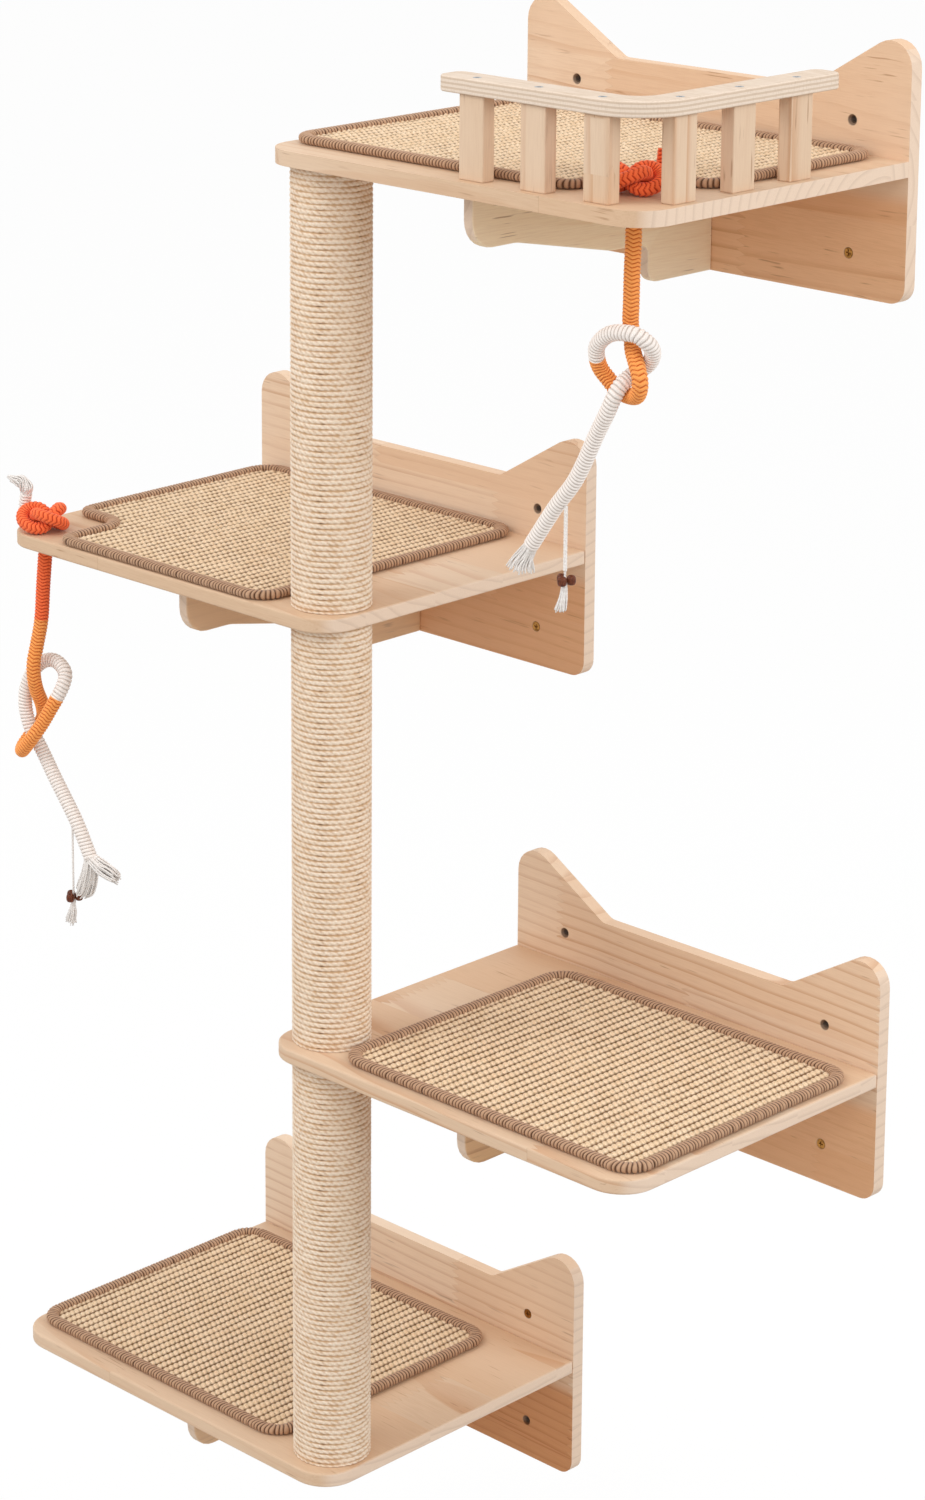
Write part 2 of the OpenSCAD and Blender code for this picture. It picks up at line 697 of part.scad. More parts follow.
module toy_cord(i) {
    r = toy_cord_r[i - 1];
    l = toy_cord_len[i - 1];
    heights = [0.9 * r, 0, -l / 2, -l + 2 * r, -l, -toy_cord_end(i)];
    radii = [0.4 * r, r, r, r, bead_cord_r, bead_cord_r];
    color(cotton) at_cord(i) tube([for (z = heights) [0, 0, z]], radii);
}

// Three drilled beads drawn up round the cord
module toy_beads(i) {
    color(bead_brown) at_cord(i) translate([0, 0, -toy_cord_len[i - 1] - bead_r])
        for (a = [45, 165, 285]) rotate(a) translate([bead_r + bead_cord_r + bead_clear, 0, 0]) difference() {
            sphere(r = bead_r);
            translate([0, 0, -bead_r - past]) cylinder(r = bead_hole_r, h = 2 * (bead_r + past));
        }
}

module toy_tassel(i) {
    color(cotton) at_cord(i) translate([0, 0, -toy_cord_end(i) - tassel_len])
        cylinder(r1 = tassel_r, r2 = tassel_neck_r, h = tassel_len);
}

back_board(1);  // back_board_1
back_board(2);  // back_board_2
back_board(3);  // back_board_3
back_board(4);  // back_board_4
shelf(1);  // shelf_1
shelf(2);  // shelf_2
shelf(3);  // shelf_3
shelf(4);  // shelf_4
gusset(1);  // gusset_1
gusset(2);  // gusset_2
gusset(3);  // gusset_3
gusset(4);  // gusset_4
mat(1);  // mat_1
mat(2);  // mat_2
mat(3);  // mat_3
mat(4);  // mat_4
mat_binding(1);  // mat_binding_1
mat_binding(2);  // mat_binding_2
mat_binding(3);  // mat_binding_3
mat_binding(4);  // mat_binding_4
shelf_screws(1);  // shelf_screws_1
shelf_screws(2);  // shelf_screws_2
shelf_screws(3);  // shelf_screws_3
shelf_screws(4);  // shelf_screws_4
wall_screws();
post_core(1);  // post_core_1
post_core(2);  // post_core_2
post_core(3);  // post_core_3
post_plugs(1);  // post_plugs_1
post_plugs(2);  // post_plugs_2
post_plugs(3);  // post_plugs_3
sisal_winding(1);  // sisal_winding_1
sisal_winding(2);  // sisal_winding_2
sisal_winding(3);  // sisal_winding_3
column_top_bolt();
column_studs();
column_foot_bolt();
guard_rail();
baluster(1);  // baluster_1
baluster(2);  // baluster_2
baluster(3);  // baluster_3
baluster(4);  // baluster_4
baluster(5);  // baluster_5
baluster(6);  // baluster_6
rail_screws();
baluster_screws();
toy_knot(1);  // toy_knot_1
toy_knot(2);  // toy_knot_2
toy_knot_fray_2();
toy_rope(1);  // toy_rope_1
toy_rope(2);  // toy_rope_2
toy_fray(1);  // toy_fray_1
toy_fray(2);  // toy_fray_2
toy_cord(1);  // toy_cord_1
toy_cord(2);  // toy_cord_2
toy_beads(1);  // toy_beads_1
toy_beads(2);  // toy_beads_2
toy_tassel(1);  // toy_tassel_1
toy_tassel(2);  // toy_tassel_2
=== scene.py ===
"""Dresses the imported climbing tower: eased pine boards, woven mats, a rope-wound column and rope toys."""

import logging
import math
from dataclasses import dataclass, replace
from enum import Enum, IntEnum

import bmesh
import bpy
import numpy as np
from mathutils import Matrix, Vector


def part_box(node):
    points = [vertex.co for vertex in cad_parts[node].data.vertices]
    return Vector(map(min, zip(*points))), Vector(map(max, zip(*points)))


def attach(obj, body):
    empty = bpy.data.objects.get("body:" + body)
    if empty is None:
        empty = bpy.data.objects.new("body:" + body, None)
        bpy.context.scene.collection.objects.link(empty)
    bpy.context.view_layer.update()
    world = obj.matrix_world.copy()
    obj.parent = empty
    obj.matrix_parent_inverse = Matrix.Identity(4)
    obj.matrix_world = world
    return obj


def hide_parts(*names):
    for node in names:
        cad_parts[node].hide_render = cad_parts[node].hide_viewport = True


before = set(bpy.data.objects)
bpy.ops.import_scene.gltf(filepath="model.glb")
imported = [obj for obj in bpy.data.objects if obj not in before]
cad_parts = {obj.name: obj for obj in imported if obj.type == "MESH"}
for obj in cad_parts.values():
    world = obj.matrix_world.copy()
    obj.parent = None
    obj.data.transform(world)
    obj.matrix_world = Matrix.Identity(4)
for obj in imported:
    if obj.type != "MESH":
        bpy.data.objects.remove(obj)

LOG = logging.getLogger("climbing_tower")
MM = 0.001
# Radians from one strand of a bunch to the next, which fill a circle evenly
GOLDEN_TURN = 2.399
# Metres within which two points are one
TOUCHING = 1e-7
# Parts of a curve from one given point to the next
CURVE_PARTS = 24
# Metres from one wave of the wave texture to the next at a scale of one
WAVE_LENGTH = 0.314
# The rays that see the backdrop as plain white
BACKDROP_RAYS = ("Is Camera Ray", "Is Glossy Ray", "Is Transmission Ray")
Socket = bpy.types.NodeSocket
Colour = tuple[float, float, float, float]
Point = tuple[float, float, float]
RED = ("#FF7643", "#B52E0A")
ORANGE = ("#FFA85A", "#C0500E")
WHITE = ("#FAF2EC", "#C6BAB1")


class Grain(Enum):
    """The axis along which a board's fibres run, and the turn in degrees that brings them onto Z."""

    ALONG_X = (0, (0.0, 90.0, 0.0))
    ALONG_Y = (1, (90.0, 0.0, 0.0))
    ALONG_Z = (2, (0.0, 0.0, 0.0))

    @property
    def axis(self) -> int:
        """Returns the axis' number, 0 to 2."""
        return self.value[0]

    @property
    def turn(self) -> Point:
        """Returns the turn in degrees."""
        return self.value[1]


class Side(Enum):
    """The side to which a rope toy's knot winds."""

    RIGHT = 1
    LEFT = -1


class Seed(IntEnum):
    """Where the small differences of each kind of piece start, to which the piece's number is added."""

    WEAVE = 40
    WRAPS = 70
    WINDING = 100
    FRAY = 200
    TASSEL = 300
    KNOT = 400


def paint(code: str) -> Colour:
    """Turns a written colour into the linear values that a shader takes.

    Args:
        code: Six hexadecimal digits after a hash sign.

    Returns:
        Red, green, blue and an alpha of one.
    """
    parts = [int(code[i:i + 2], 16) / 255 for i in (1, 3, 5)]
    linear = [p / 12.92 if p <= 0.04045 else ((p + 0.055) / 1.055) ** 2.4 for p in parts]
    return (*linear, 1.0)


class Graph:
    """Builds a tree of shader nodes, one named step at a time."""

    def __init__(self, tree: bpy.types.NodeTree) -> None:
        """Starts with an empty tree.

        Args:
            tree: The tree of a material or of the world.
        """
        self.tree = tree
        self.tree.nodes.clear()

    def step(self, kind: str, **settings: object) -> bpy.types.Node:
        """Adds a node.

        Args:
            kind: The node's type.
            settings: Properties to set on it.

        Returns:
            The new node.
        """
        node = self.tree.nodes.new(kind)
        for key, value in settings.items():
            setattr(node, key, value)
        return node

    def feed(self, node: bpy.types.Node, inputs: dict[str | int, object]) -> None:
        """Gives a node's inputs their links or plain values.

        Args:
            node: The node to feed.
            inputs: Sockets or values, by the input's name or number.
        """
        for key, value in inputs.items():
            if isinstance(value, Socket):
                self.tree.links.new(value, node.inputs[key])
            else:
                node.inputs[key].default_value = value

    def object_point(self) -> Socket:
        """Returns the point on the piece, in metres."""
        return self.step("ShaderNodeTexCoord").outputs["Object"]

    def along_piece(self) -> Socket:
        """Returns the piece's own UV, which holds metres along and round it."""
        return self.step("ShaderNodeUVMap", uv_map="UVMap").outputs["UV"]

    def reading(self, name: str) -> Socket:
        """Returns an attribute of the mesh as a number.

        Args:
            name: The attribute's name.
        """
        return self.step("ShaderNodeAttribute", attribute_name=name).outputs["Fac"]

    def placed(self, point: Socket, scale: Point = (1, 1, 1), turn: Point = (0, 0, 0),
               shift: Point = (0, 0, 0)) -> Socket:
        """Shifts, turns and stretches a point.

        Args:
            point: The point to place.
            scale: Stretch on each axis.
            turn: Turn in degrees about each axis.
            shift: Metres added on each axis.

        Returns:
            The placed point.
        """
        node = self.step("ShaderNodeMapping")
        turned = [math.radians(a) for a in turn]
        self.feed(node, {"Vector": point, "Scale": scale, "Rotation": turned, "Location": shift})
        return node.outputs["Vector"]

    def noise(self, point: Socket, scale: float, detail: float = 2.0, rough: float = 0.5) -> Socket:
        """Reads clouds at a point.

        Args:
            point: Where it is read.
            scale: Clouds per metre.
            detail: Finer layers.
            rough: Strength of the finer layers.

        Returns:
            A number from 0 to 1.
        """
        node = self.step("ShaderNodeTexNoise")
        self.feed(node, {"Vector": point, "Scale": scale, "Detail": detail, "Roughness": rough})
        return node.outputs["Fac"]

    def fibres(self, point: Socket, stretch: Point, scale: float, detail: float = 2.0, rough: float = 0.5,
               degrees: float = 0.0) -> Socket:
        """Reads clouds that are drawn out into fibres.

        Args:
            point: Where they are read.
            stretch: Scale on each axis, small along the fibres.
            scale: Clouds per metre.
            detail: Finer layers.
            rough: Strength of the finer layers.
            degrees: Their slant about Z.

        Returns:
            A number from 0 to 1.
        """
        return self.noise(self.placed(point, stretch, (0, 0, degrees)), scale, detail, rough)

    def sum(self, operation: str, *terms: Socket | float) -> Socket:
        """Does one step of arithmetic.

        Args:
            operation: The name of the step, such as MULTIPLY.
            terms: One to three numbers.

        Returns:
            Its result.
        """
        node = self.step("ShaderNodeMath", operation=operation)
        self.feed(node, dict(enumerate(terms)))
        return node.outputs[0]

    def span(self, value: Socket, low: float, high: float, start: float = 0.0,
             end: float = 1.0) -> Socket:
        """Makes a number follow another one smoothly over a range.

        Args:
            value: The other number.
            low: Where the range starts.
            high: Where the range ends.
            start: Result at low.
            end: Result at high.

        Returns:
            The number that follows.
        """
        node = self.step("ShaderNodeMapRange", interpolation_type="SMOOTHSTEP")
        self.feed(node, {"Value": value, "From Min": low, "From Max": high, "To Min": start,
                         "To Max": end})
        return node.outputs["Result"]

    def blend(self, share: Socket | float, under: Socket | str, over: Socket | str,
              way: str = "MIX") -> Socket:
        """Blends two colours.

        Args:
            share: How much of the upper colour shows.
            under: The lower colour, written or as a socket.
            over: The upper colour, written or as a socket.
            way: The blend type.

        Returns:
            The blended colour.
        """
        node = self.step("ShaderNodeMix", data_type="RGBA", blend_type=way)
        coats = [paint(coat) if isinstance(coat, str) else coat for coat in (under, over)]
        self.feed(node, {0: share, 6: coats[0], 7: coats[1]})
        return node.outputs[2]

    def tint(self, under: Socket | str, over: Socket | str, value: Socket, low: float, high: float,
             start: float = 0.0, end: float = 1.0, way: str = "MIX") -> Socket:
        """Covers a colour with another one as a number runs over a range.

        Args:
            under: The lower colour, written or as a socket.
            over: The upper colour, written or as a socket.
            value: The number.
            low: Where the range starts.
            high: Where the range ends.
            start: Share of the upper colour at low.
            end: Its share at high.
            way: The blend type.

        Returns:
            The blended colour.
        """
        return self.blend(self.span(value, low, high, start, end), under, over, way)

    def split(self, point: Socket) -> tuple[Socket, Socket, Socket]:
        """Splits a point.

        Args:
            point: The point to split.

        Returns:
            Its three parts.
        """
        node = self.step("ShaderNodeSeparateXYZ")
        self.feed(node, {"Vector": point})
        return tuple(node.outputs)

    def facing(self) -> tuple[Socket, Socket, Socket]:
        """Returns how far the surface faces along each axis, from -1 to 1."""
        return self.split(self.step("ShaderNodeNewGeometry").outputs["Normal"])

    def seen_as_backdrop(self) -> Socket:
        """Tells the rays that look at the backdrop from those that it lights with.

        Returns:
            1 where the camera, a gloss or a glass looks at it, and otherwise 0.
        """
        rays = self.step("ShaderNodeLightPath").outputs
        camera, gloss, glass = (rays[name] for name in BACKDROP_RAYS)
        return self.sum("MAXIMUM", camera, self.sum("MAXIMUM", gloss, glass))


class Surface(Graph):
    """Builds one procedural material."""

    def __init__(self, name: str) -> None:
        """Starts a material with a bare shader.

        Args:
            name: The material's name.
        """
        self.material = bpy.data.materials.new(name)
        self.material.use_nodes = True
        super().__init__(self.material.node_tree)
        self.shader = self.step("ShaderNodeBsdfPrincipled")
        self.exit = self.step("ShaderNodeOutputMaterial")
        self.feed(self.exit, {"Surface": self.shader.outputs["BSDF"]})

    def base(self, **values: float) -> None:
        """Sets plain values on the shader's own sockets.

        Args:
            values: Roughness, metallic, sheen and so on, with underscores for spaces.
        """
        for key, value in values.items():
            self.shader.inputs[key.replace("_", " ").title().replace("Ior", "IOR")].default_value = value

    def raise_by(self, height: Socket, metres: float, strength: float = 1.0) -> None:
        """Gives the surface a fine relief.

        Args:
            height: The relief's height from 0 to 1.
            metres: What a height of one stands for.
            strength: Share of the relief that shows.
        """
        node = self.step("ShaderNodeBump")
        self.feed(node, {"Height": height, "Distance": metres, "Strength": strength})
        self.feed(self.shader, {"Normal": node.outputs["Normal"]})

    def colour(self, value: Socket) -> bpy.types.Material:
        """Sets the surface's colour.

        Args:
            value: The colour.

        Returns:
            The finished material.
        """
        self.feed(self.shader, {"Base Color": value})
        return self.material


@dataclass(frozen=True)
class PineFinish:
    """Sanded pine panel, glued from strips, with rings that show as streaks on its faces.

    Attributes:
        name: The material's name.
        grain: The way that the fibres run.
        pith: The log's middle, in metres across the fibres.
        tilt: How far the board leans across the log, in degrees.
        strip: Width of the glued strips, in metres.
        strip_axis: Axis across the glued strips, 0 to 2.
        part: Length of the finger-jointed parts of a strip, in metres.
        ring: Distance from one ring to the next, in metres.
        painted_shade_below: Height in metres under which the front gets painted shade, as under the shelf,
            or nothing.
        pale: Colour of the early wood.
        dark: Colour of the late wood.
        painted_shade: Warm, darker colour multiplied into the front below that height as painted shade.
        bores: X and Z of the middle of four bores, and half of their distances, in metres, or nothing.
        bore_reach: Distances from a bore's axis between which its shade fades, in metres.
        counted_from: Where the strips are counted from, outside every board, in metres.
        tooth: Width and length of the finger joints' teeth, in metres.
        stagger: How far each strip's joints are shifted against the last strip's, in metres.
        strip_code: Keeps the numbers of two strips' parts apart.
    """

    name: str
    grain: Grain
    pith: tuple[float, float]
    tilt: tuple[float, float] = (1.6, -1.2)
    strip: float = 0.13
    strip_axis: int = 1
    part: float = 0.42
    ring: float = 0.0125
    painted_shade_below: float | None = None
    pale: str = "#EBCEB1"
    dark: str = "#C08B60"
    painted_shade: str = "#FFE7D0"
    bores: tuple[float, float, float, float] | None = None
    bore_reach: tuple[float, float] = (4.6 * MM, 6 * MM)
    counted_from: float = -3.017
    tooth: tuple[float, float] = (4.5 * MM, 11 * MM)
    stagger: float = 0.173
    strip_code: float = 7.31

    def strip_parts(self, s: Surface, axes: tuple[Socket, Socket, Socket]) -> tuple[Socket, Socket]:
        """Counts the glued strips and their finger-jointed parts.

        Args:
            s: The material.
            axes: The point's three parts.

        Returns:
            How many joints lie before the point, and a number for its part of a strip.
        """
        across = s.sum("SUBTRACT", axes[self.strip_axis], self.counted_from)
        number = s.sum("FLOOR", s.sum("DIVIDE", across, self.strip))
        width, length = self.tooth
        teeth = s.sum("MULTIPLY", s.sum("PINGPONG", s.sum("DIVIDE", across, width), 1.0), length)
        place = s.sum("ADD", axes[self.grain.axis], teeth)
        place = s.sum("ADD", place, s.sum("MULTIPLY", number, self.stagger))
        joints = s.sum("DIVIDE", place, self.part)
        return joints, s.sum("MULTIPLY_ADD", number, self.strip_code, s.sum("FLOOR", joints))

    def place_in_log(self, s: Surface, point: Socket, jump: Socket) -> Socket:
        """Finds where in the log a part of a strip was sawn from.

        Args:
            s: The material.
            point: The point on the piece.
            jump: A colour that differs from part to part.

        Returns:
            The point in the log.
        """
        moved = s.step("ShaderNodeVectorMath", operation="MULTIPLY_ADD")
        s.feed(moved, {0: jump, 1: (0.09, 0.09, 0.09), 2: point})
        log = s.placed(moved.outputs[0], turn=self.grain.turn)
        return s.placed(log, turn=(*self.tilt, 0), shift=(*self.pith, 0))

    def late_wood(self, s: Surface, log: Socket, slow: Socket) -> Socket:
        """Draws the dark late wood of the rings.

        Args:
            s: The material.
            log: The point in the log.
            slow: Slow clouds that bend the rings.

        Returns:
            Its share, from 0 to 1.
        """
        bend = s.step("ShaderNodeVectorMath", operation="ADD")
        s.feed(bend, {0: log, 1: s.sum("MULTIPLY", s.sum("SUBTRACT", slow, 0.5), 0.03)})
        rings = s.step("ShaderNodeTexWave", wave_type="RINGS", rings_direction="Z", wave_profile="SAW")
        s.feed(rings, {"Vector": s.placed(bend.outputs[0], scale=(1, 1, 0.02)),
                       "Scale": WAVE_LENGTH / self.ring, "Distortion": 0.5, "Detail": 2.0,
                       "Detail Scale": 0.7})
        ring = rings.outputs["Fac"]
        return s.sum("MULTIPLY", s.span(ring, 0.6, 0.97), s.span(ring, 1.0, 0.965))

    def off_bores(self, s: Surface, axes: tuple[Socket, Socket, Socket]) -> Socket:
        """Measures the way to the nearest bore's axis.

        Args:
            s: The material.
            axes: The point's three parts.

        Returns:
            The distance, in metres.
        """
        x, z, half_x, half_z = self.bores
        off = [s.sum("SUBTRACT", s.sum("ABSOLUTE", s.sum("SUBTRACT", place, middle)), half)
               for place, middle, half in ((axes[0], x, half_x), (axes[2], z, half_z))]
        return s.sum("SQRT", s.sum("MULTIPLY_ADD", off[0], off[0], s.sum("MULTIPLY", off[1], off[1])))

    def material(self) -> bpy.types.Material:
        """Builds the material.

        Returns:
            The material.
        """
        s = Surface(self.name)
        point = s.object_point()
        axes, facing = s.split(point), s.facing()
        joints, part = self.strip_parts(s, axes)
        dice = s.step("ShaderNodeTexWhiteNoise", noise_dimensions="1D")
        s.feed(dice, {"W": part})
        log = self.place_in_log(s, point, dice.outputs["Color"])
        slow = s.fibres(log, (1, 1, 0.3), 7.0)
        line = self.late_wood(s, log, slow)
        wide = s.span(s.fibres(log, (1, 1, 0.15), 11.0), 0.36, 0.68, 0.03, 0.8)
        wood = s.blend(s.sum("MULTIPLY", line, wide), self.pale, self.dark)
        fibre = s.fibres(log, (1, 1, 0.03), 900.0, 3.0, 0.6)
        wood = s.tint(wood, "#B98A66", fibre, 0.35, 0.75, 0.0, 0.16, "MULTIPLY")
        dash = s.span(s.fibres(log, (1, 1, 0.06), 330.0, 1.0), 0.65, 0.74, 0.0, 0.7)
        patch = s.span(s.noise(log, 22.0, 1.0), 0.45, 0.62)
        wood = s.blend(s.sum("MULTIPLY", dash, patch), wood, "#95694A")
        wood = s.tint(wood, "#F0DCC6", s.fibres(log, (1, 1, 0.25), 6.0, 1.0), 0.35, 0.7, 0.0, 0.4)
        wood = s.tint(wood, "#D9A87C", dice.outputs["Value"], 0.0, 1.0, 0.0, 0.34)
        wood = s.tint(wood, "#A57C5B", s.sum("PINGPONG", joints, 0.5), 0.0012, 0.0, 0.0, 0.3)
        # Painted shade: under the shelf, the front faces are multiplied by a warm, darker colour.
        if self.painted_shade_below is not None:
            height = s.sum("MULTIPLY_ADD", slow, 0.02, axes[2])
            under = s.span(height, self.painted_shade_below - 0.02, self.painted_shade_below, 1.0, 0.0)
            front = s.span(facing[1], -0.8, -0.3, 1.0, 0.0)
            wood = s.blend(s.sum("MULTIPLY", under, front), wood, self.painted_shade, "MULTIPLY")
        cut = s.blend(s.sum("MULTIPLY", line, 0.22), "#E8D0BA", "#A98C76")
        cut = s.tint(cut, "#C9A98E", s.noise(log, 1500.0), 0.4, 0.75, 0.0, 0.25)
        wood = s.tint(wood, cut, s.sum("ABSOLUTE", facing[self.grain.axis]), 0.55, 0.9)
        # Painted shade: darkens the wood inside the open bores and in a ring round the screw heads.
        if self.bores is not None:
            wood = s.tint(wood, "#432A1A", self.off_bores(s, axes), *self.bore_reach, 0.8, 0.0)
        s.base(roughness=0.6, specular_ior_level=0.3)
        s.raise_by(s.sum("ADD", fibre, line), 0.00006, 0.6)
        return s.colour(wood)


@dataclass(frozen=True)
class PlyFinish:
    """Birch plywood: a pale face and thin layers along its edges.

    Attributes:
        name: The material's name.
        top: Height of the upper face, in metres.
        layer: Thickness of one layer, in metres.
    """

    name: str
    top: float
    layer: float = 0.00214

    def material(self) -> bpy.types.Material:
        """Builds the material.

        Returns:
            The material.
        """
        s = Surface(self.name)
        point = s.object_point()
        long = s.fibres(point, (0.06, 1, 1), 520.0, 3.0, 0.6)
        face = s.tint("#E3D0BD", "#CDB59C", long, 0.3, 0.75)
        face = s.tint(face, "#DFCFC0", s.noise(point, 16.0), 0.4, 0.75, 0.0, 0.35)
        depth = s.sum("DIVIDE", s.sum("SUBTRACT", self.top, s.split(point)[2]), self.layer)
        wobble = s.sum("MULTIPLY", s.sum("SUBTRACT", s.noise(point, 60.0, 1.0), 0.5), 0.3)
        layers = s.sum("ADD", depth, wobble)
        edge = s.tint("#EAD9C8", "#D6C0AA", s.sum("PINGPONG", layers, 1.0), 0.35, 0.65)
        edge = s.tint(edge, "#9A8068", s.sum("PINGPONG", layers, 0.5), 0.07, 0.0, 0.0, 0.35)
        cross = s.fibres(point, (1, 1, 0.3), 700.0, 3.0, 0.6)
        edge = s.tint(edge, "#B59C84", cross, 0.45, 0.8, 0.0, 0.3)
        s.base(roughness=0.55, specular_ior_level=0.3)
        s.raise_by(long, 0.00005, 0.5)
        return s.colour(s.tint(edge, face, s.sum("ABSOLUTE", s.facing()[2]), 0.6, 0.9))


@dataclass(frozen=True)
class SisalWeaveFinish:
    """Woven sisal, pale on its loops, with painted shade in the gaps between them.

    Attributes:
        name: The material's name.
        gap: Colour painted into the gaps as shade.
    """

    name: str = "woven_sisal"
    gap: str = "#6E4C2E"

    def material(self) -> bpy.types.Material:
        """Builds the material.

        Returns:
            The material.
        """
        s = Surface(self.name)
        point = s.object_point()
        fibre = s.fibres(point, (0.35, 1, 1), 1500.0, 3.0, 0.65, degrees=32)
        straw = s.tint("#DAB387", "#FDECD3", fibre, 0.3, 0.72)
        straw = s.tint(straw, "#DDB98C", s.noise(point, 55.0), 0.35, 0.7, 0.0, 0.25)
        s.base(roughness=0.85, specular_ior_level=0.15)
        s.raise_by(fibre, 0.0006, 0.6)
        # Painted shade: the gap colour fills the low parts between the loops.
        return s.colour(s.tint(self.gap, straw, s.reading("loft"), 0.12, 0.55))


@dataclass(frozen=True)
class ThreadFinish:
    """Thread wound or knitted tightly round a core, in up to three colours along the piece.

    Attributes:
        name: The material's name.
        colours: Pairs of the lit and the shaded colour, from the start of the piece.
        changes: Metres along the piece at which the next colour starts.
        groove: Height from 0 to 1 up to which a rib's side is shaded.
        fibres: Clouds of loose fibre per metre.
        blur: Metres over which one colour turns into the next.
    """

    name: str
    colours: tuple[tuple[str, str], ...]
    changes: tuple[float, ...] = ()
    groove: float = 0.8
    fibres: float = 1100.0
    blur: float = 0.8 * MM

    def material(self) -> bpy.types.Material:
        """Builds the material.

        Returns:
            The material.
        """
        s = Surface(self.name)
        uv = s.along_piece()
        along = s.split(uv)[0]
        fuzz = s.fibres(uv, (1, 0.35, 1), self.fibres, rough=0.6)
        rib = s.span(s.reading("loft"), 0.1, self.groove, 1.0, 0.0)
        shade = s.sum("MAXIMUM", rib, s.span(fuzz, 0.55, 0.85, 0.0, 0.4))
        result = s.blend(shade, *self.colours[0])
        for place, pair in zip(self.changes, self.colours[1:]):
            result = s.tint(result, s.blend(shade, *pair), along, place, place + self.blur)
        s.base(roughness=0.8, specular_ior_level=0.2, sheen_weight=0.15)
        s.raise_by(fuzz, 0.0003, 0.6)
        return s.colour(result)


@dataclass(frozen=True)
class SisalRopeFinish:
    """Sisal rope wound on the column, with fibres that follow the rope's twist.

    Attributes:
        name: The material's name.
    """

    name: str = "sisal_rope"

    def material(self) -> bpy.types.Material:
        """Builds the material.

        Returns:
            The material.
        """
        s = Surface(self.name)
        uv = s.along_piece()
        fibre = s.fibres(uv, (0.22, 1, 1), 2600.0, 3.0, 0.65, degrees=38)
        hair = s.fibres(uv, (0.10, 1, 1), 1500.0, 2.0, 0.6, degrees=-12)
        rope = s.tint("#F0CFAC", "#FFF8EC", fibre, 0.3, 0.72)
        rope = s.tint(rope, "#FFF8EE", hair, 0.6, 0.74, 0.0, 0.75)
        rope = s.tint(rope, "#EBCDAA", s.fibres(uv, (0.3, 1, 1), 60.0), 0.4, 0.75, 0.0, 0.3)
        wide = s.fibres(uv, (0.25, 1, 1), 260.0)
        # Painted shade: the rope darkens towards the grooves between its turns, and the grooves take a tan
        # colour, here and there a dark brown.
        loft = s.sum("ADD", s.reading("loft"), s.span(wide, 0.4, 0.66, 0.12, -0.1))
        rope = s.tint(rope, "#CDA277", loft, 0.35, 0.85, 0.9, 0.0)
        rope = s.tint(s.tint("#C8A67E", "#4A2E18", wide, 0.5, 0.58), rope, loft, 0.0, 0.3)
        s.base(roughness=0.75, specular_ior_level=0.25, sheen_weight=0.1)
        s.raise_by(s.sum("ADD", fibre, hair), 0.0005, 0.7)
        return s.colour(rope)


@dataclass(frozen=True)
class StrandFinish:
    """Loose cotton strands.

    Attributes:
        name: The material's name.
        lit: Colour of the strands' tops.
        dark: Colour between the strands.
    """

    name: str = "cotton_strands"
    lit: str = "#FFFCF9"
    dark: str = "#DFD6CF"

    def material(self) -> bpy.types.Material:
        """Builds the material.

        Returns:
            The material.
        """
        s = Surface(self.name)
        twist = s.fibres(s.along_piece(), (0.25, 1, 1), 1800.0, rough=0.6, degrees=20)
        s.base(roughness=0.85, specular_ior_level=0.15, sheen_weight=0.15)
        s.raise_by(twist, 0.0003)
        return s.colour(s.tint(self.dark, self.lit, twist, 0.3, 0.7))


@dataclass(frozen=True)
class BeadFinish:
    """Dark stained wood with a soft gloss.

    Attributes:
        name: The material's name.
    """

    name: str = "bead_wood"

    def material(self) -> bpy.types.Material:
        """Builds the material.

        Returns:
            The material.
        """
        s = Surface(self.name)
        vein = s.fibres(s.object_point(), (1, 1, 0.2), 1400.0, 3.0, 0.6)
        s.base(roughness=0.42, specular_ior_level=0.25)
        s.raise_by(vein, 0.0001, 0.5)
        return s.colour(s.tint("#3C1A0E", "#7E4024", vein, 0.3, 0.7))


@dataclass(frozen=True)
class MetalFinish:
    """Plated metal with faint drawn lines and duller spots.

    Attributes:
        name: The material's name.
        bright: Colour of the clean plating.
        dull: Colour of the duller spots.
        roughness: Roughness of the plating.
    """

    name: str
    bright: str
    dull: str
    roughness: float = 0.38

    def material(self) -> bpy.types.Material:
        """Builds the material.

        Returns:
            The material.
        """
        s = Surface(self.name)
        point = s.object_point()
        spots = s.noise(point, 420.0, 3.0, 0.6)
        s.base(metallic=1.0, roughness=self.roughness)
        s.raise_by(s.fibres(point, (1, 0.1, 1), 2400.0), 0.00004, 0.5)
        return s.colour(s.tint(self.bright, self.dull, spots, 0.4, 0.75))


@dataclass(frozen=True)
class CardFinish:
    """Grey-brown cardboard of the column's tube.

    Attributes:
        name: The material's name.
    """

    name: str = "tube_card"

    def material(self) -> bpy.types.Material:
        """Builds the material.

        Returns:
            The material.
        """
        s = Surface(self.name)
        pulp = s.noise(s.object_point(), 800.0, 4.0, 0.7)
        s.base(roughness=0.9, specular_ior_level=0.1)
        s.raise_by(pulp, 0.0002)
        return s.colour(s.tint("#A5845C", "#C4A57B", pulp, 0.3, 0.7))


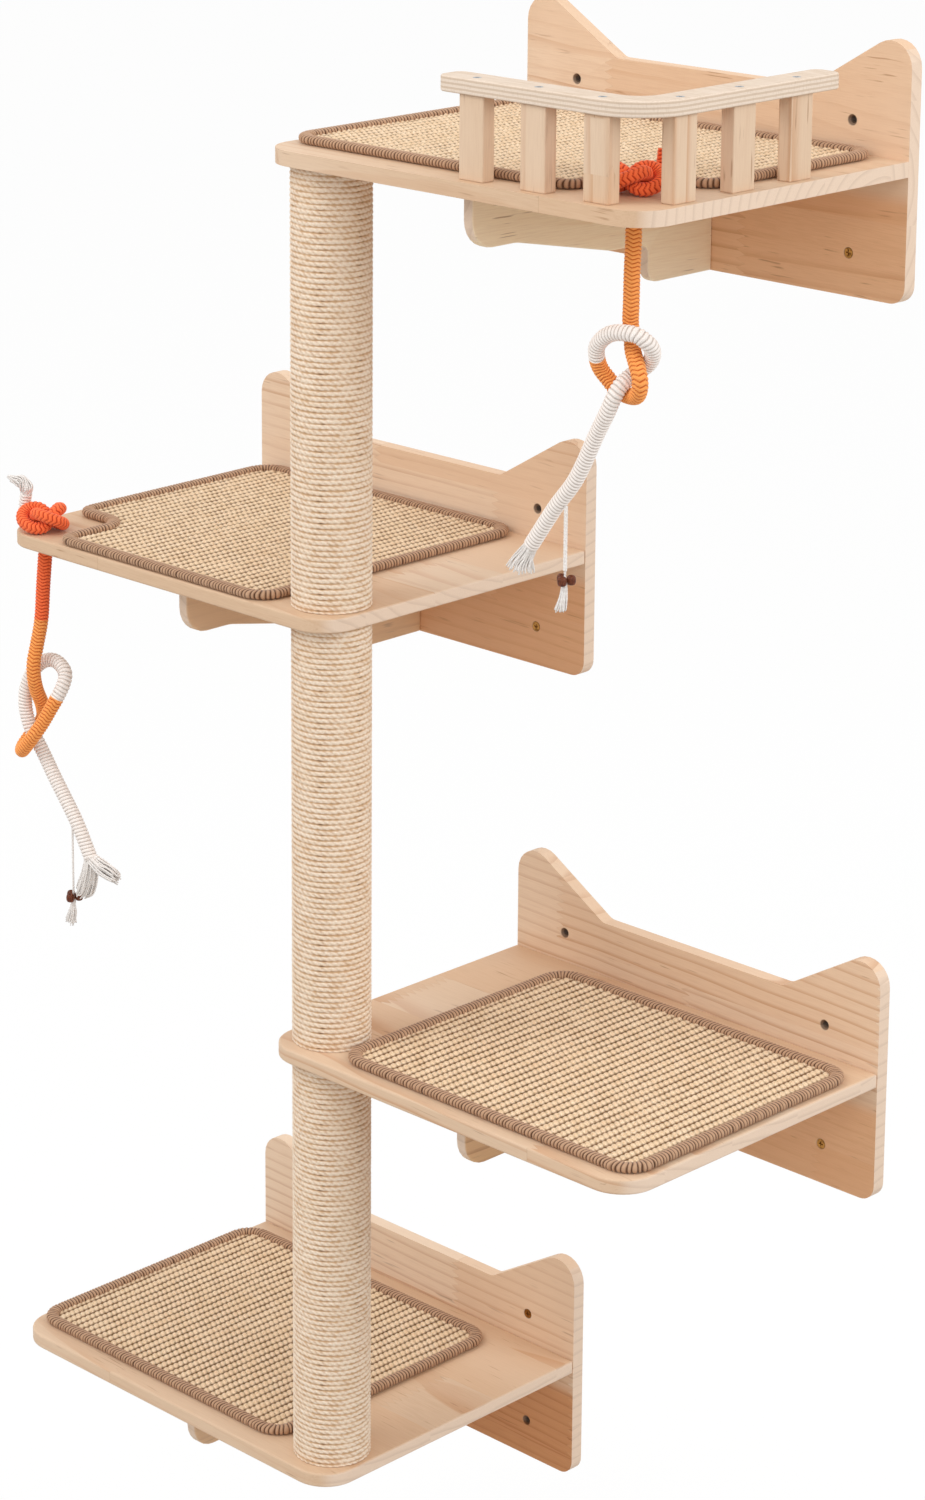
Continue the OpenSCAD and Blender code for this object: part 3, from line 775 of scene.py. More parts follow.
@dataclass(frozen=True)
class FloorFinish:
    """Pale floor that stays white behind the object and keeps its shadow.

    Attributes:
        name: The material's name.
        shadow_share: How much of the lit floor is mixed into the white.
    """

    name: str = "pale_floor"
    shadow_share: float = 0.1

    def material(self) -> bpy.types.Material:
        """Builds the material.

        Returns:
            The material.
        """
        s = Surface(self.name)
        s.base(roughness=0.9, specular_ior_level=0.0)
        dull = s.tint("#C3C1BE", "#C8C6C3", s.noise(s.object_point(), 0.6, 1.0), 0.0, 1.0)
        seen = s.seen_as_backdrop()
        glow = s.step("ShaderNodeEmission")
        s.feed(glow, {"Color": (1, 1, 1, 1), "Strength": 1.0})
        mixer = s.step("ShaderNodeMixShader")
        share = s.sum("MULTIPLY", seen, 1.0 - self.shadow_share)
        s.feed(mixer, {0: share, 1: s.shader.outputs["BSDF"], 2: glow.outputs["Emission"]})
        s.feed(s.exit, {"Surface": mixer.outputs[0]})
        return s.colour(s.blend(seen, dull, "#FAFAF9"))


def add_piece(mesh: bpy.types.Mesh, body: str, slot: str, look: bpy.types.Material,
              *nodes: str) -> bpy.types.Object:
    """Puts a finished mesh into the scene as a piece of the object.

    Args:
        mesh: The piece's mesh, in its place.
        body: The body that it moves with.
        slot: The record's material slot; not used.
        look: Its material.
        nodes: The CAD nodes that it stands for.

    Returns:
        The new piece.
    """
    piece = bpy.data.objects.new(mesh.name, mesh)
    bpy.context.scene.collection.objects.link(piece)
    mesh.materials.clear()
    mesh.materials.append(look)
    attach(piece, body)
    if nodes:
        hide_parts(*nodes)
    LOG.info("%s: %d faces on %s", mesh.name, len(mesh.polygons), body)
    return piece


def to_mesh(bm: bmesh.types.BMesh, name: str) -> bpy.types.Mesh:
    """Turns a built shape into a mesh.

    Args:
        bm: The built shape, which is freed.
        name: The mesh's name.

    Returns:
        The mesh.
    """
    mesh = bpy.data.meshes.new(name)
    bm.to_mesh(mesh)
    bm.free()
    return mesh


def finished(bm: bmesh.types.BMesh, name: str) -> bpy.types.Mesh:
    """Turns a built shape into a smooth mesh with its faces outwards.

    Args:
        bm: The built shape, which is freed.
        name: The mesh's name.

    Returns:
        The mesh.
    """
    bmesh.ops.recalc_face_normals(bm, faces=bm.faces[:])
    for face in bm.faces:
        face.smooth = True
    return to_mesh(bm, name)


def run_along(line: np.ndarray) -> np.ndarray:
    """Returns how far along a line each of its points lies.

    Args:
        line: The line's points.
    """
    return np.concatenate([[0.0], np.cumsum(np.linalg.norm(np.diff(line, axis=0), axis=1))])


def unit(directions: np.ndarray) -> np.ndarray:
    """Returns directions with a length of one.

    Args:
        directions: One direction in each row.
    """
    return directions / np.linalg.norm(directions, axis=1)[:, None]


def ribs(phase: np.ndarray, power: float = 0.85) -> np.ndarray:
    """Returns the height of ribs, from 0 in the grooves to 1 on their tops.

    Args:
        phase: The places, counted in ribs.
        power: Less than one for full ribs, more for narrow ones.
    """
    return np.abs(np.sin(math.pi * phase)) ** power


def bent_grid(points: np.ndarray, loft: np.ndarray, size: tuple[float, float]) -> bmesh.types.BMesh:
    """Bends a flat grid so that its rows and columns take the given places.

    Args:
        points: Places by row and column, in metres.
        loft: A height from 0 to 1 for each place, kept as an attribute.
        size: Metres across the columns and along the rows, for the piece's UV.

    Returns:
        The bent grid, with doubles merged where its edges meet.
    """
    rows, columns = points.shape[:2]
    bm = bmesh.new()
    bm.loops.layers.uv.new("UVMap")
    bmesh.ops.create_grid(bm, x_segments=columns - 1, y_segments=rows - 1, size=1.0, calc_uvs=True)
    mesh = bpy.data.meshes.new("grid")
    bm.to_mesh(mesh)
    flat = np.empty(len(mesh.vertices) * 3)
    mesh.vertices.foreach_get("co", flat)
    place = (flat.reshape(-1, 3)[:, :2] + 1) / 2
    column = np.rint(place[:, 0] * (columns - 1)).astype(int)
    row = np.rint(place[:, 1] * (rows - 1)).astype(int)
    mesh.vertices.foreach_set("co", points[row, column].ravel())
    kept = mesh.attributes.new("loft", "FLOAT", "POINT")
    kept.data.foreach_set("value", loft[row, column].astype(np.float32))
    uv = np.empty(len(mesh.loops) * 2)
    mesh.uv_layers[0].uv.foreach_get("vector", uv)
    mesh.uv_layers[0].uv.foreach_set("vector", (uv.reshape(-1, 2) * size).ravel())
    bm.clear()
    bm.from_mesh(mesh)
    bpy.data.meshes.remove(mesh)
    bmesh.ops.remove_doubles(bm, verts=bm.verts[:], dist=TOUCHING)
    return bm


def close_ends(bm: bmesh.types.BMesh) -> None:
    """Closes the open rims of a shape.

    Args:
        bm: The shape, such as a tube.
    """
    rims = [e for e in bm.edges if e.is_boundary]
    bmesh.ops.holes_fill(bm, edges=rims, sides=0)


def smooth_line(corners: np.ndarray, step: float) -> np.ndarray:
    """Runs one smooth curve through given points.

    Args:
        corners: The points to pass through.
        step: Distance between the curve's own points.

    Returns:
        The curve's points, evenly spaced.
    """
    p = np.vstack([2 * corners[0] - corners[1], corners, 2 * corners[-1] - corners[-2]])
    t = np.linspace(0, 1, CURVE_PARTS, endpoint=False)[:, None]
    parts = []
    for a, b, c, d in zip(p, p[1:], p[2:], p[3:]):
        square, cube = 2 * a - 5 * b + 4 * c - d, 3 * b - a - 3 * c + d
        parts.append(0.5 * (2 * b + (c - a) * t + square * t**2 + cube * t**3))
    return evenly(np.vstack([*parts, corners[-1:]]), step)


def evenly(line: np.ndarray, step: float) -> np.ndarray:
    """Spaces a line's points evenly.

    Args:
        line: The line's points.
        step: The wanted distance between them.

    Returns:
        The same line with even points.
    """
    along = run_along(line)
    at = np.linspace(0, along[-1], max(3, round(along[-1] / step) + 1))
    return np.stack([np.interp(at, along, line[:, k]) for k in range(3)], axis=1)


def carried_axes(line: np.ndarray, first: Point = (0.1, 1.0, 0.2)) -> tuple[np.ndarray, np.ndarray]:
    """Carries a pair of cross axes along a line without twisting them.

    Args:
        line: The line's points.
        first: Roughly where the first axis points at the start.

    Returns:
        The two axes at each point.
    """
    ahead = unit(np.gradient(line, axis=0))
    normals = np.empty_like(line)
    n = np.array(first, float)
    for i, d in enumerate(ahead):
        n = n - (n @ d) * d
        n /= np.linalg.norm(n)
        normals[i] = n
    return normals, np.cross(ahead, normals)


def rope_grid(line: np.ndarray, radius: np.ndarray, rib: float, depth: float, sides: int = 14,
              knit: np.ndarray | None = None) -> bmesh.types.BMesh:
    """Builds a closed round rope along a line, with ribs wound round it.

    Args:
        line: The rope's middle line, in metres.
        radius: Its radius at each point.
        rib: Distance from one rib to the next.
        depth: Share of the radius by which the grooves lie deeper.
        sides: Faces round the rope.
        knit: How far the ribs rise and fall round the rope, in ribs at each point, or nothing.

    Returns:
        The rope.
    """
    normals, binormals = carried_axes(line)
    share = np.linspace(0, 1, sides + 1)
    turn = share * 2 * math.pi
    along = run_along(line)
    phase = along[:, None] / rib + share[None, :]
    if knit is not None:
        phase += knit[:, None] * np.abs(share * 4 % 1.0 * 2 - 1)[None, :]
    loft = ribs(phase)
    reach = radius[:, None] * (1 - depth * (1 - loft))
    ring = np.cos(turn)[:, None] * normals[:, None, :] + np.sin(turn)[:, None] * binormals[:, None, :]
    points = line[:, None, :] + reach[..., None] * ring
    points[:, -1] = points[:, 0]
    girth = 2 * math.pi * float(radius.mean())
    bm = bent_grid(points.transpose(1, 0, 2), loft.T, (float(along[-1]), girth))
    close_ends(bm)
    return bm


def joined(parts: list[bmesh.types.BMesh]) -> bmesh.types.BMesh:
    """Gathers several shapes into one.

    Args:
        parts: The shapes, which are freed.

    Returns:
        One shape that holds them all.
    """
    whole = bmesh.new()
    for part in parts:
        bmesh.ops.recalc_face_normals(part, faces=part.faces[:])
        mesh = to_mesh(part, "part")
        whole.from_mesh(mesh)
        bpy.data.meshes.remove(mesh)
    return whole


def rounded_outline(corners: list[tuple[float, float, float]], steps: int = 12) -> np.ndarray:
    """Rounds the corners of a flat outline.

    Args:
        corners: Each corner's place and radius.
        steps: Parts of each arc.

    Returns:
        The outline's points, in order.
    """
    points = []
    for i, (x, y, radius) in enumerate(corners):
        c = np.array([x, y])
        a = np.array(corners[i - 1][:2]) - c
        b = np.array(corners[(i + 1) % len(corners)][:2]) - c
        a, b = a / np.linalg.norm(a), b / np.linalg.norm(b)
        half = math.acos(float(np.clip(a @ b, -1, 1))) / 2
        middle = c + (a + b) / np.linalg.norm(a + b) * radius / math.sin(half)
        start = c + a * radius / math.tan(half) - middle
        sweep = math.copysign(math.pi - 2 * half, -(a[0] * b[1] - a[1] * b[0]))
        for k in range(steps + 1):
            w = sweep * k / steps
            points.append(middle + [start[0] * math.cos(w) - start[1] * math.sin(w),
                                    start[0] * math.sin(w) + start[1] * math.cos(w)])
    return np.array(points)


def inside(x: np.ndarray, y: np.ndarray, outline: np.ndarray) -> np.ndarray:
    """Tells which places lie inside a flat outline.

    Args:
        x: The places' first coordinate.
        y: The places' second coordinate.
        outline: The outline's points, in order.

    Returns:
        True for each place inside.
    """
    result = np.zeros(x.shape, bool)
    for (ax, ay), (bx, by) in zip(outline, np.roll(outline, -1, axis=0)):
        if ay == by:
            continue
        crosses = (ay > y) != (by > y)
        result ^= crosses & (x < (bx - ax) * (y - ay) / (by - ay) + ax)
    return result


@dataclass(frozen=True)
class Lamp:
    """A soft square lamp.

    Attributes:
        name: The lamp's name.
        place: Its place, in metres.
        side: Its side, in metres.
        watts: Its power.
    """

    name: str
    place: Point
    side: float
    watts: float


@dataclass
class Studio:
    """The camera at the photograph's angle, soft lamps and a pale floor.

    Attributes:
        place: The camera's place, in metres.
        yaw: Its turn to the left, in radians.
        pitch: Its dip, in radians.
        focal_px: Focal length in pixels of the photograph.
        middle_px: Where the camera's axis meets the photograph.
        photo_px: The photograph's width and height.
        sensor: Width of the camera's sensor, in millimetres.
        clip: Nearest and farthest thing that the camera shows, in metres.
        level_low: Strength of the light from the horizon.
        level_high: Strength of the light from straight above.
        lamps: The lamps.
        lit_point: The middle of the tower, which the lamps face.
        floor_z: Height of the floor.
        floor_side: Half of the floor's width, in metres.
    """

    place: Point = (2.421, -2.875, 0.599)
    yaw: float = 0.7975
    pitch: float = 0.2359
    focal_px: float = 3922.0
    middle_px: tuple[float, float] = (340.0, 400.0)
    photo_px: tuple[float, float] = (925.0, 1500.0)
    sensor: float = 36.0
    clip: tuple[float, float] = (0.05, 200.0)
    level_low: float = 0.65
    level_high: float = 0.945
    lamps: tuple[Lamp, ...] = (Lamp("key_lamp", (-1.8, -3.6, 2.6), 3.0, 79.0),
                               Lamp("fill_lamp", (3.2, -2.6, 2.0), 3.0, 42.0),
                               Lamp("side_lamp", (3.2, 1.4, 1.4), 2.0, 42.0))
    lit_point: Point = (-0.2, -0.2, -0.7)
    floor_z: float = -1.80
    floor_side: float = 45.0

    def build(self) -> None:
        """Makes the camera, the light and the floor."""
        self.camera()
        self.world()
        for lamp in self.lamps:
            self.hang(lamp)
        self.floor()
        bpy.context.scene.view_settings.view_transform = "Standard"

    @staticmethod
    def stand(name: str, data: bpy.types.ID) -> bpy.types.Object:
        """Stands an object in the scene.

        Args:
            name: The object's name.
            data: Its camera, lamp or mesh.

        Returns:
            The object.
        """
        thing = bpy.data.objects.new(name, data)
        bpy.context.scene.collection.objects.link(thing)
        return thing

    def camera(self) -> None:
        """Makes the camera."""
        width, height = self.photo_px
        data = bpy.data.cameras.new("photo_camera")
        data.sensor_fit = "AUTO"
        data.sensor_width = self.sensor
        data.lens = self.focal_px / height * self.sensor
        data.shift_x = (width / 2 - self.middle_px[0]) / height
        data.shift_y = -(height / 2 - self.middle_px[1]) / height
        data.clip_start, data.clip_end = self.clip
        camera = self.stand("photo_camera", data)
        camera.location = self.place
        camera.rotation_euler = (math.pi / 2 - self.pitch, 0.0, self.yaw)
        bpy.context.scene.camera = camera

    def world(self) -> None:
        """Makes the even light all round, which the camera sees as white."""
        world = bpy.data.worlds.new("studio_light")
        world.use_nodes = True
        g = Graph(world.node_tree)
        sky = g.step("ShaderNodeMapRange")
        g.feed(sky, {"Value": g.split(g.step("ShaderNodeTexCoord").outputs["Generated"])[2],
                     "To Min": self.level_low, "To Max": self.level_high})
        level = g.step("ShaderNodeMix")
        g.feed(level, {0: g.seen_as_backdrop(), 2: sky.outputs["Result"], 3: 1.0})
        light = g.step("ShaderNodeBackground")
        g.feed(light, {"Color": (1, 1, 1, 1), "Strength": level.outputs[0]})
        g.feed(g.step("ShaderNodeOutputWorld"), {"Surface": light.outputs["Background"]})
        bpy.context.scene.world = world

    def hang(self, lamp: Lamp) -> None:
        """Hangs a lamp so that it faces the tower.

        Args:
            lamp: The lamp.
        """
        data = bpy.data.lights.new(lamp.name, "AREA")
        data.size = lamp.side
        data.energy = lamp.watts
        hung = self.stand(lamp.name, data)
        hung.location = lamp.place
        hung.rotation_euler = (Vector(self.lit_point) - hung.location).to_track_quat("-Z", "Y").to_euler()

    def floor(self) -> None:
        """Makes the floor."""
        bm = bmesh.new()
        bmesh.ops.create_grid(bm, x_segments=4, y_segments=4, size=self.floor_side)
        bmesh.ops.translate(bm, verts=bm.verts[:], vec=(0, 0, self.floor_z))
        mesh = to_mesh(bm, "pale_floor")
        mesh.materials.append(FloorFinish().material())
        self.stand("pale_floor", mesh)


@dataclass
class EasedBoard:
    """A wooden piece whose long edges are eased with sandpaper.

    Attributes:
        node: The CAD node that it stands for.
        slot: The record's material slot.
        look: Its material.
        ease: Width of the eased edge, in metres.
        weld: Distance within which the points of the node's mesh are merged, in metres.
        flat_bend: Bend in degrees under which two faces are one.
        edge_bend: Bend in degrees over which an edge is eased.
        shortest: Length over which an edge is eased, in metres.
        shade_bend: Bend in degrees over which an edge is shaded sharply.
    """

    node: str
    slot: str
    look: bpy.types.Material
    ease: float
    weld: float = 0.002 * MM
    flat_bend: float = 0.6
    edge_bend: float = 40.0
    shortest: float = 1.2 * MM
    shade_bend: float = 13.0

    def is_long_edge(self, edge: bmesh.types.BMEdge) -> bool:
        """Tells whether sandpaper goes along an edge.

        Args:
            edge: The edge.
        """
        long = edge.is_manifold and edge.calc_length() > self.shortest
        return long and edge.calc_face_angle(0.0) > math.radians(self.edge_bend)

    def build(self) -> bpy.types.Object:
        """Makes the piece from a merged copy of the node's mesh.

        Returns:
            The piece.
        """
        bm = bmesh.new()
        bm.from_mesh(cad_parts[self.node].data)
        bmesh.ops.remove_doubles(bm, verts=bm.verts[:], dist=self.weld)
        bmesh.ops.dissolve_limit(bm, angle_limit=math.radians(self.flat_bend), verts=bm.verts[:],
                                 edges=bm.edges[:])
        sharp = [edge for edge in bm.edges if self.is_long_edge(edge)]
        bmesh.ops.bevel(bm, geom=sharp, offset=self.ease, offset_type="OFFSET", segments=3, profile=0.5,
                        affect="EDGES", clamp_overlap=True, material=-1)
        mesh = to_mesh(bm, "eased_" + self.node)
        mesh.polygons.foreach_set("use_smooth", [True] * len(mesh.polygons))
        mesh.set_sharp_from_angle(angle=math.radians(self.shade_bend))
        return add_piece(mesh, "root", self.slot, self.look, self.node)


@dataclass
class Carcass:
    """The boards, shelves, gussets and the guard rail with its balusters.

    Attributes:
        tiers: Number of tiers.
        balusters: Number of balusters.
        hole_spacing: Distance between the two wall holes of a row.
        hole_rows: Heights of the two rows over the shelf's top.
        wide_ease: Width of the eased edges of boards and shelves.
        ease: Width of the eased edges of gussets and the rail.
        small_ease: Width of the eased edges of balusters.
    """

    tiers: int = 4
    balusters: int = 6
    hole_spacing: float = 346 * MM
    hole_rows: tuple[float, float] = (31 * MM, -95 * MM)
    wide_ease: float = 2.2 * MM
    ease: float = 1.8 * MM
    small_ease: float = 1.2 * MM

    def build(self) -> None:
        """Makes every wooden piece that shows."""
        for i in range(1, self.tiers + 1):
            self.tier(i)
        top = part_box("guard_rail")[1].z
        EasedBoard("guard_rail", "plywood", PlyFinish("rail_ply", top).material(), self.ease).build()
        for n in range(1, self.balusters + 1):
            pith = (0.02 + 0.013 * n, -0.03 - 0.02 * (n % 3))
            part = 0.05 if n == 3 else 2.0
            look = PineFinish(f"baluster_pine_{n}", Grain.ALONG_Z, pith, strip=1.0, part=part,
                              pale="#DCC1A5")
            EasedBoard(f"baluster_{n}", "pine", look.material(), self.small_ease).build()

    def tier(self, i: int) -> None:
        """Makes the board, the shelf and the gusset of one tier.

        Args:
            i: The tier's number from the top.
        """
        # Painted shade on each board's front under its shelf, deeper on the lowest tier.
        painted_shade = "#EAC4A0" if i == self.tiers else "#FFE7D0"
        low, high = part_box(f"shelf_{i}")
        rows = [high.z + row for row in self.hole_rows]
        bores = ((low.x + high.x) / 2, sum(rows) / 2, self.hole_spacing / 2, (rows[0] - rows[1]) / 2)
        board = PineFinish(f"board_pine_{i}", Grain.ALONG_X, (0.02 + 0.013 * i, 0.035), strip=0.117,
                           strip_axis=2, painted_shade_below=low.z, painted_shade=painted_shade, bores=bores)
        shelf = PineFinish(f"shelf_pine_{i}", Grain.ALONG_X, (0.03, 0.02 + 0.017 * i), strip=0.096,
                           part=0.6, pale="#D9BC9E")
        # Gusset 1's wood is made paler as painted light; the lower gussets' wood is darker and warmer,
        # partly its tone and partly painted shade.
        pale, dark = ("#FFEBC8", "#EDC796") if i == 1 else ("#E4B885", "#AD7442")
        gusset = PineFinish(f"gusset_pine_{i}", Grain.ALONG_Y, (0.05, 0.02 * i), strip=1.0, part=2.0,
                            pale=pale, dark=dark)
        for kind, finish, ease in (("back_board", board, self.wide_ease), ("shelf", shelf, self.wide_ease),
                                   ("gusset", gusset, self.ease)):
            EasedBoard(f"{kind}_{i}", "pine", finish.material(), ease).build()


@dataclass
class WovenMat:
    """A woven sisal mat with a bound edge.

    Attributes:
        tier: The mat's number from the top.
        notch: Width and depth of the corner cut for a rope toy's knot, in metres, or nothing.
        notch_right: Whether that corner is the right one.
        corner: Radius of the outer corners.
        notch_corner: Radius of the notch's corners.
        cloth: Thickness of the cloth.
        relief: How far the gaps between its loops lie lower.
        row_pitch: Distance from one row of loops to the next.
        loop_pitch: Distance from one loop of a row to the next.
        row_parts: Faces across a row.
        loop_parts: Faces along a loop.
        row_drift: How far the rows sway, in rows.
        loop_drift: How far the loops sway along their row, in loops.
        row_shift: Largest shift of a row along itself, in loops.
        smallest: Height of the lowest loops as a share of the highest.
        fullness: Power that rounds the loops.
        table: Number of rows, and of loops in a row, before their differences repeat.
        edge_w: Width of the bound edge.
        edge_h: Its height.
        edge_girth: Length of one wrap of its thread.
        edge_sides: Faces round it.
        edge_step: Distance between the points of its line.
        wrap_pitch: Distance from one wrap of its thread to the next.
        wrap_depth: Share by which the grooves between the wraps lie lower.
    """

    tier: int
    notch: tuple[float, float] | None = None
    notch_right: bool = False
    corner: float = 30 * MM
    notch_corner: float = 22 * MM
    cloth: float = 6 * MM
    relief: float = 3.2 * MM
    row_pitch: float = 10.65 * MM
    loop_pitch: float = 6.62 * MM
    row_parts: int = 7
    loop_parts: int = 5
    row_drift: float = 0.09
    loop_drift: float = 0.22
    row_shift: float = 0.3
    smallest: float = 0.74
    fullness: float = 0.8
    table: int = 600
    edge_w: float = 14 * MM
    edge_h: float = 9.2 * MM
    edge_girth: float = 36 * MM
    edge_sides: int = 14
    edge_step: float = 0.65 * MM
    wrap_pitch: float = 4.1 * MM
    wrap_depth: float = 0.21

    def corners(self, inset: float) -> list[tuple[float, float, float]]:
        """Works out the mat's corners, moved in from its outer edge.

        Args:
            inset: How far they move in.

        Returns:
            Each corner's place and radius.
        """
        low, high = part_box(f"mat_binding_{self.tier}")
        l, r, f, b = low.x + inset, high.x - inset, low.y + inset, high.y - inset
        big, lobe, inner = self.corner - inset, self.notch_corner - inset, self.notch_corner + inset
        if self.notch is None:
            return [(l, b, big), (l, f, big), (r, f, big), (r, b, big)]
        w, d = self.notch
        if self.notch_right:
            cut = [(l, f, big), (r - w, f, lobe), (r - w, f + d, inner), (r, f + d, lobe)]
        else:
            cut = [(l, f + d, lobe), (l + w, f + d, inner), (l + w, f, lobe), (r, f, big)]
        return [(l, b, big), *cut, (r, b, big)]

    def build(self, cloth_look: bpy.types.Material, edge_look: bpy.types.Material) -> None:
        """Makes the cloth and its bound edge.

        Args:
            cloth_look: The cloth's material.
            edge_look: The edge's material.
        """
        cloth = add_piece(self.cloth_mesh(), "root", "mat_weave", cloth_look, f"mat_{self.tier}")
        edge = add_piece(self.edge_mesh(), "root", "mat_binding", edge_look, f"mat_binding_{self.tier}")

    def cloth_mesh(self) -> bpy.types.Mesh:
        """Weaves the cloth in rows of slanted loops that run from the wall to the front.

        Returns:
            The cloth's mesh.
        """
        outline = rounded_outline(self.corners(self.edge_w / 2))
        (l, f), (r, b) = outline.min(0), outline.max(0)
        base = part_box(f"mat_binding_{self.tier}")[0].z
        columns = round((r - l) / (self.row_pitch / self.row_parts)) + 1
        rows = round((b - f) / (self.loop_pitch / self.loop_parts)) + 1
        x, y = np.meshgrid(np.linspace(l, r, columns), np.linspace(f, b, rows))
        dice = np.random.default_rng(Seed.WEAVE + self.tier)
        drift = self.drift(dice, x, y)
        row = (x - l) / self.row_pitch + self.row_drift * drift
        loop = (y - f) / self.loop_pitch + row + self.loop_drift * drift
        row_number = np.floor(row).astype(int) % self.table
        loop += dice.uniform(0, self.row_shift, self.table)[row_number]
        size = dice.uniform(self.smallest, 1.0, (self.table, self.table))
        size = size[row_number, np.floor(loop).astype(int) % self.table]
        loft = 0.12 + 0.88 * ribs(row, self.fullness)
        loft = loft * (0.2 + 0.8 * ribs(loop, self.fullness)) * size
        z = base + self.cloth - self.relief * (1 - loft)
        bm = bent_grid(np.stack([x, y, z], -1), loft, (r - l, b - f))
        faces = bm.faces[:]
        middles = np.array([face.calc_center_median()[:2] for face in faces])
        keep = inside(middles[:, 0], middles[:, 1], outline)
        bmesh.ops.delete(bm, geom=[face for face, k in zip(faces, keep) if not k], context="FACES")
        rim = [e for e in bm.edges if e.is_boundary]
        skirt = bmesh.ops.extrude_edge_only(bm, edges=rim)["geom"]
        for vert in (g for g in skirt if isinstance(g, bmesh.types.BMVert)):
            vert.co.z = base
        close_ends(bm)
        return finished(bm, f"woven_mat_{self.tier}")

    @staticmethod
    def drift(dice: np.random.Generator, x: np.ndarray, y: np.ndarray) -> np.ndarray:
        """Makes a slow sway, which keeps the rows from being ruled.

        Args:
            dice: The source of its waves.
            x: The places' first coordinate.
            y: The places' second coordinate.

        Returns:
            The sway at each place, from -1 to 1.
        """
        waves = zip(dice.uniform(-70, 70, 6), dice.uniform(-70, 70, 6), dice.uniform(0, 6, 6))
        return sum(np.sin(x * a + y * b + p) for a, b, p in waves) / 6

    def edge_mesh(self) -> bpy.types.Mesh:
        """Wraps the edge with thick thread.

        Returns:
            The edge's mesh.
        """
        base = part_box(f"mat_binding_{self.tier}")[0].z
        flat = rounded_outline(self.corners(self.edge_w / 2))
        line = np.column_stack([flat, np.full(len(flat), base + self.edge_h / 2)])
        line = evenly(np.vstack([line, line[:1]]), self.edge_step)
        ahead = np.roll(line[:-1], -1, axis=0) - np.roll(line[:-1], 1, axis=0)
        out = np.cross(unit(np.vstack([ahead, ahead[:1]])), (0, 0, 1))
        along = np.linspace(0, 1, len(line))
        girth = float(run_along(line)[-1])
        wraps = round(girth / self.wrap_pitch)
        turn = np.linspace(0, 2 * math.pi, self.edge_sides + 1)
        dice = np.random.default_rng(Seed.WRAPS + self.tier)
        waves = zip(dice.integers(20, 260, 7), dice.uniform(0, 6, 7))
        uneven = sum(np.sin(2 * math.pi * along * k + p) for k, p in waves) / 7
        lean = 0.3 + 0.3 * np.roll(uneven, 40)
        phase = (along * wraps + 0.15 * uneven)[:, None] + lean[:, None] * np.cos(turn)[None, :]
        loft = ribs(phase)
        c, s = np.cos(turn), np.sin(turn)
        wide = np.sign(c) * np.abs(c) ** self.fullness * self.edge_w / 2
        tall = np.sign(s) * np.abs(s) ** self.fullness * self.edge_h / 2
        swell = 1 - self.wrap_depth * (1 - loft)
        points = line[:, None, :] + out[:, None, :] * (wide * swell)[..., None]
        points[..., 2] += tall[None, :] * swell
        points[:, -1] = points[:, 0]
        points[-1] = points[0]
        bm = bent_grid(points.transpose(1, 0, 2), loft.T, (girth, self.edge_girth))
        return finished(bm, f"mat_edge_{self.tier}")


@dataclass
class Column:
    """The three lengths of column, each wound with sisal rope from end to end.

    Attributes:
        lengths: Number of lengths.
        rope: Thickness of the rope, in metres.
        round_steps: Faces round the column.
        rows: Faces over each turn of rope.
        twist: Length of one visible twist of the rope.
        slant: How far a twist leans over the rope's width, in twists.
        groove: Share of the rope's thickness by which the grooves between the turns lie deeper.
        inset: How far the turns keep inside the CAD's sleeve.
        unround: How far the column's surface sways.
        uneven: How far the turns sway up and down, in turns.
    """

    lengths: int = 3
    rope: float = 5.4 * MM
    round_steps: int = 160
    rows: int = 6
    twist: float = 6.4 * MM
    slant: float = 1.1
    groove: float = 0.42
    inset: float = 0.2 * MM
    unround: float = 0.15 * MM
    uneven: float = 0.05

    def build(self) -> None:
        """Makes the windings."""
        look = SisalRopeFinish().material()
        for i in range(1, self.lengths + 1):
            add_piece(self.winding(i), "root", "sisal", look, f"sisal_winding_{i}")

    def winding(self, i: int) -> bpy.types.Mesh:
        """Winds one length of column.

        Args:
            i: Its number from the top.

        Returns:
            The winding's mesh.
        """
        low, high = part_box(f"sisal_winding_{i}")
        middle, outer, height = (low + high) / 2, (high.x - low.x) / 2, high.z - low.z
        turns = round(height / self.rope) + 2
        pitch = height / (turns - 2)
        step = np.arange(turns * self.rows + 1)[:, None] / self.rows
        a = np.linspace(0, 1, self.round_steps + 1)[None, :]
        place = step + a
        dice = np.random.default_rng(Seed.WINDING + i)
        sway = sum(np.sin(2 * math.pi * (k * a + place * w) + p) for k, w, p in
                   zip(dice.integers(1, 9, 7), dice.uniform(0.03, 0.4, 7), dice.uniform(0, 6, 7))) / 7
        across = (place % 1.0) - 0.5
        bulge = np.sqrt(np.clip(1 - (2 * across) ** 2, 0, 1))
        run = (np.floor(place) + a) * 2 * math.pi * (outer - self.rope / 2)
        loft = bulge * (0.5 + 0.5 * ribs(run / self.twist + across * self.slant, 1.1))
        reach = outer - self.rope * self.groove * (1 - loft) - self.inset + self.unround * sway
        z = low.z + (place - 1.5 + self.uneven * sway) * pitch
        angle = 2 * math.pi * a
        x, y = middle.x + reach * np.cos(angle), middle.y + reach * np.sin(angle)
        points = np.stack([x, y, z], -1)
        points[self.rows:, 0] = points[:-self.rows, -1]
        bm = bent_grid(points, loft, (2 * math.pi * outer, turns * pitch))
        for level, out in ((low.z, -1), (high.z, 1)):
            bmesh.ops.bisect_plane(bm, geom=bm.verts[:] + bm.edges[:] + bm.faces[:], plane_co=(0, 0, level),
                                   plane_no=(0, 0, out), clear_outer=True)
        close_ends(bm)
        return finished(bm, f"rope_winding_{i}")


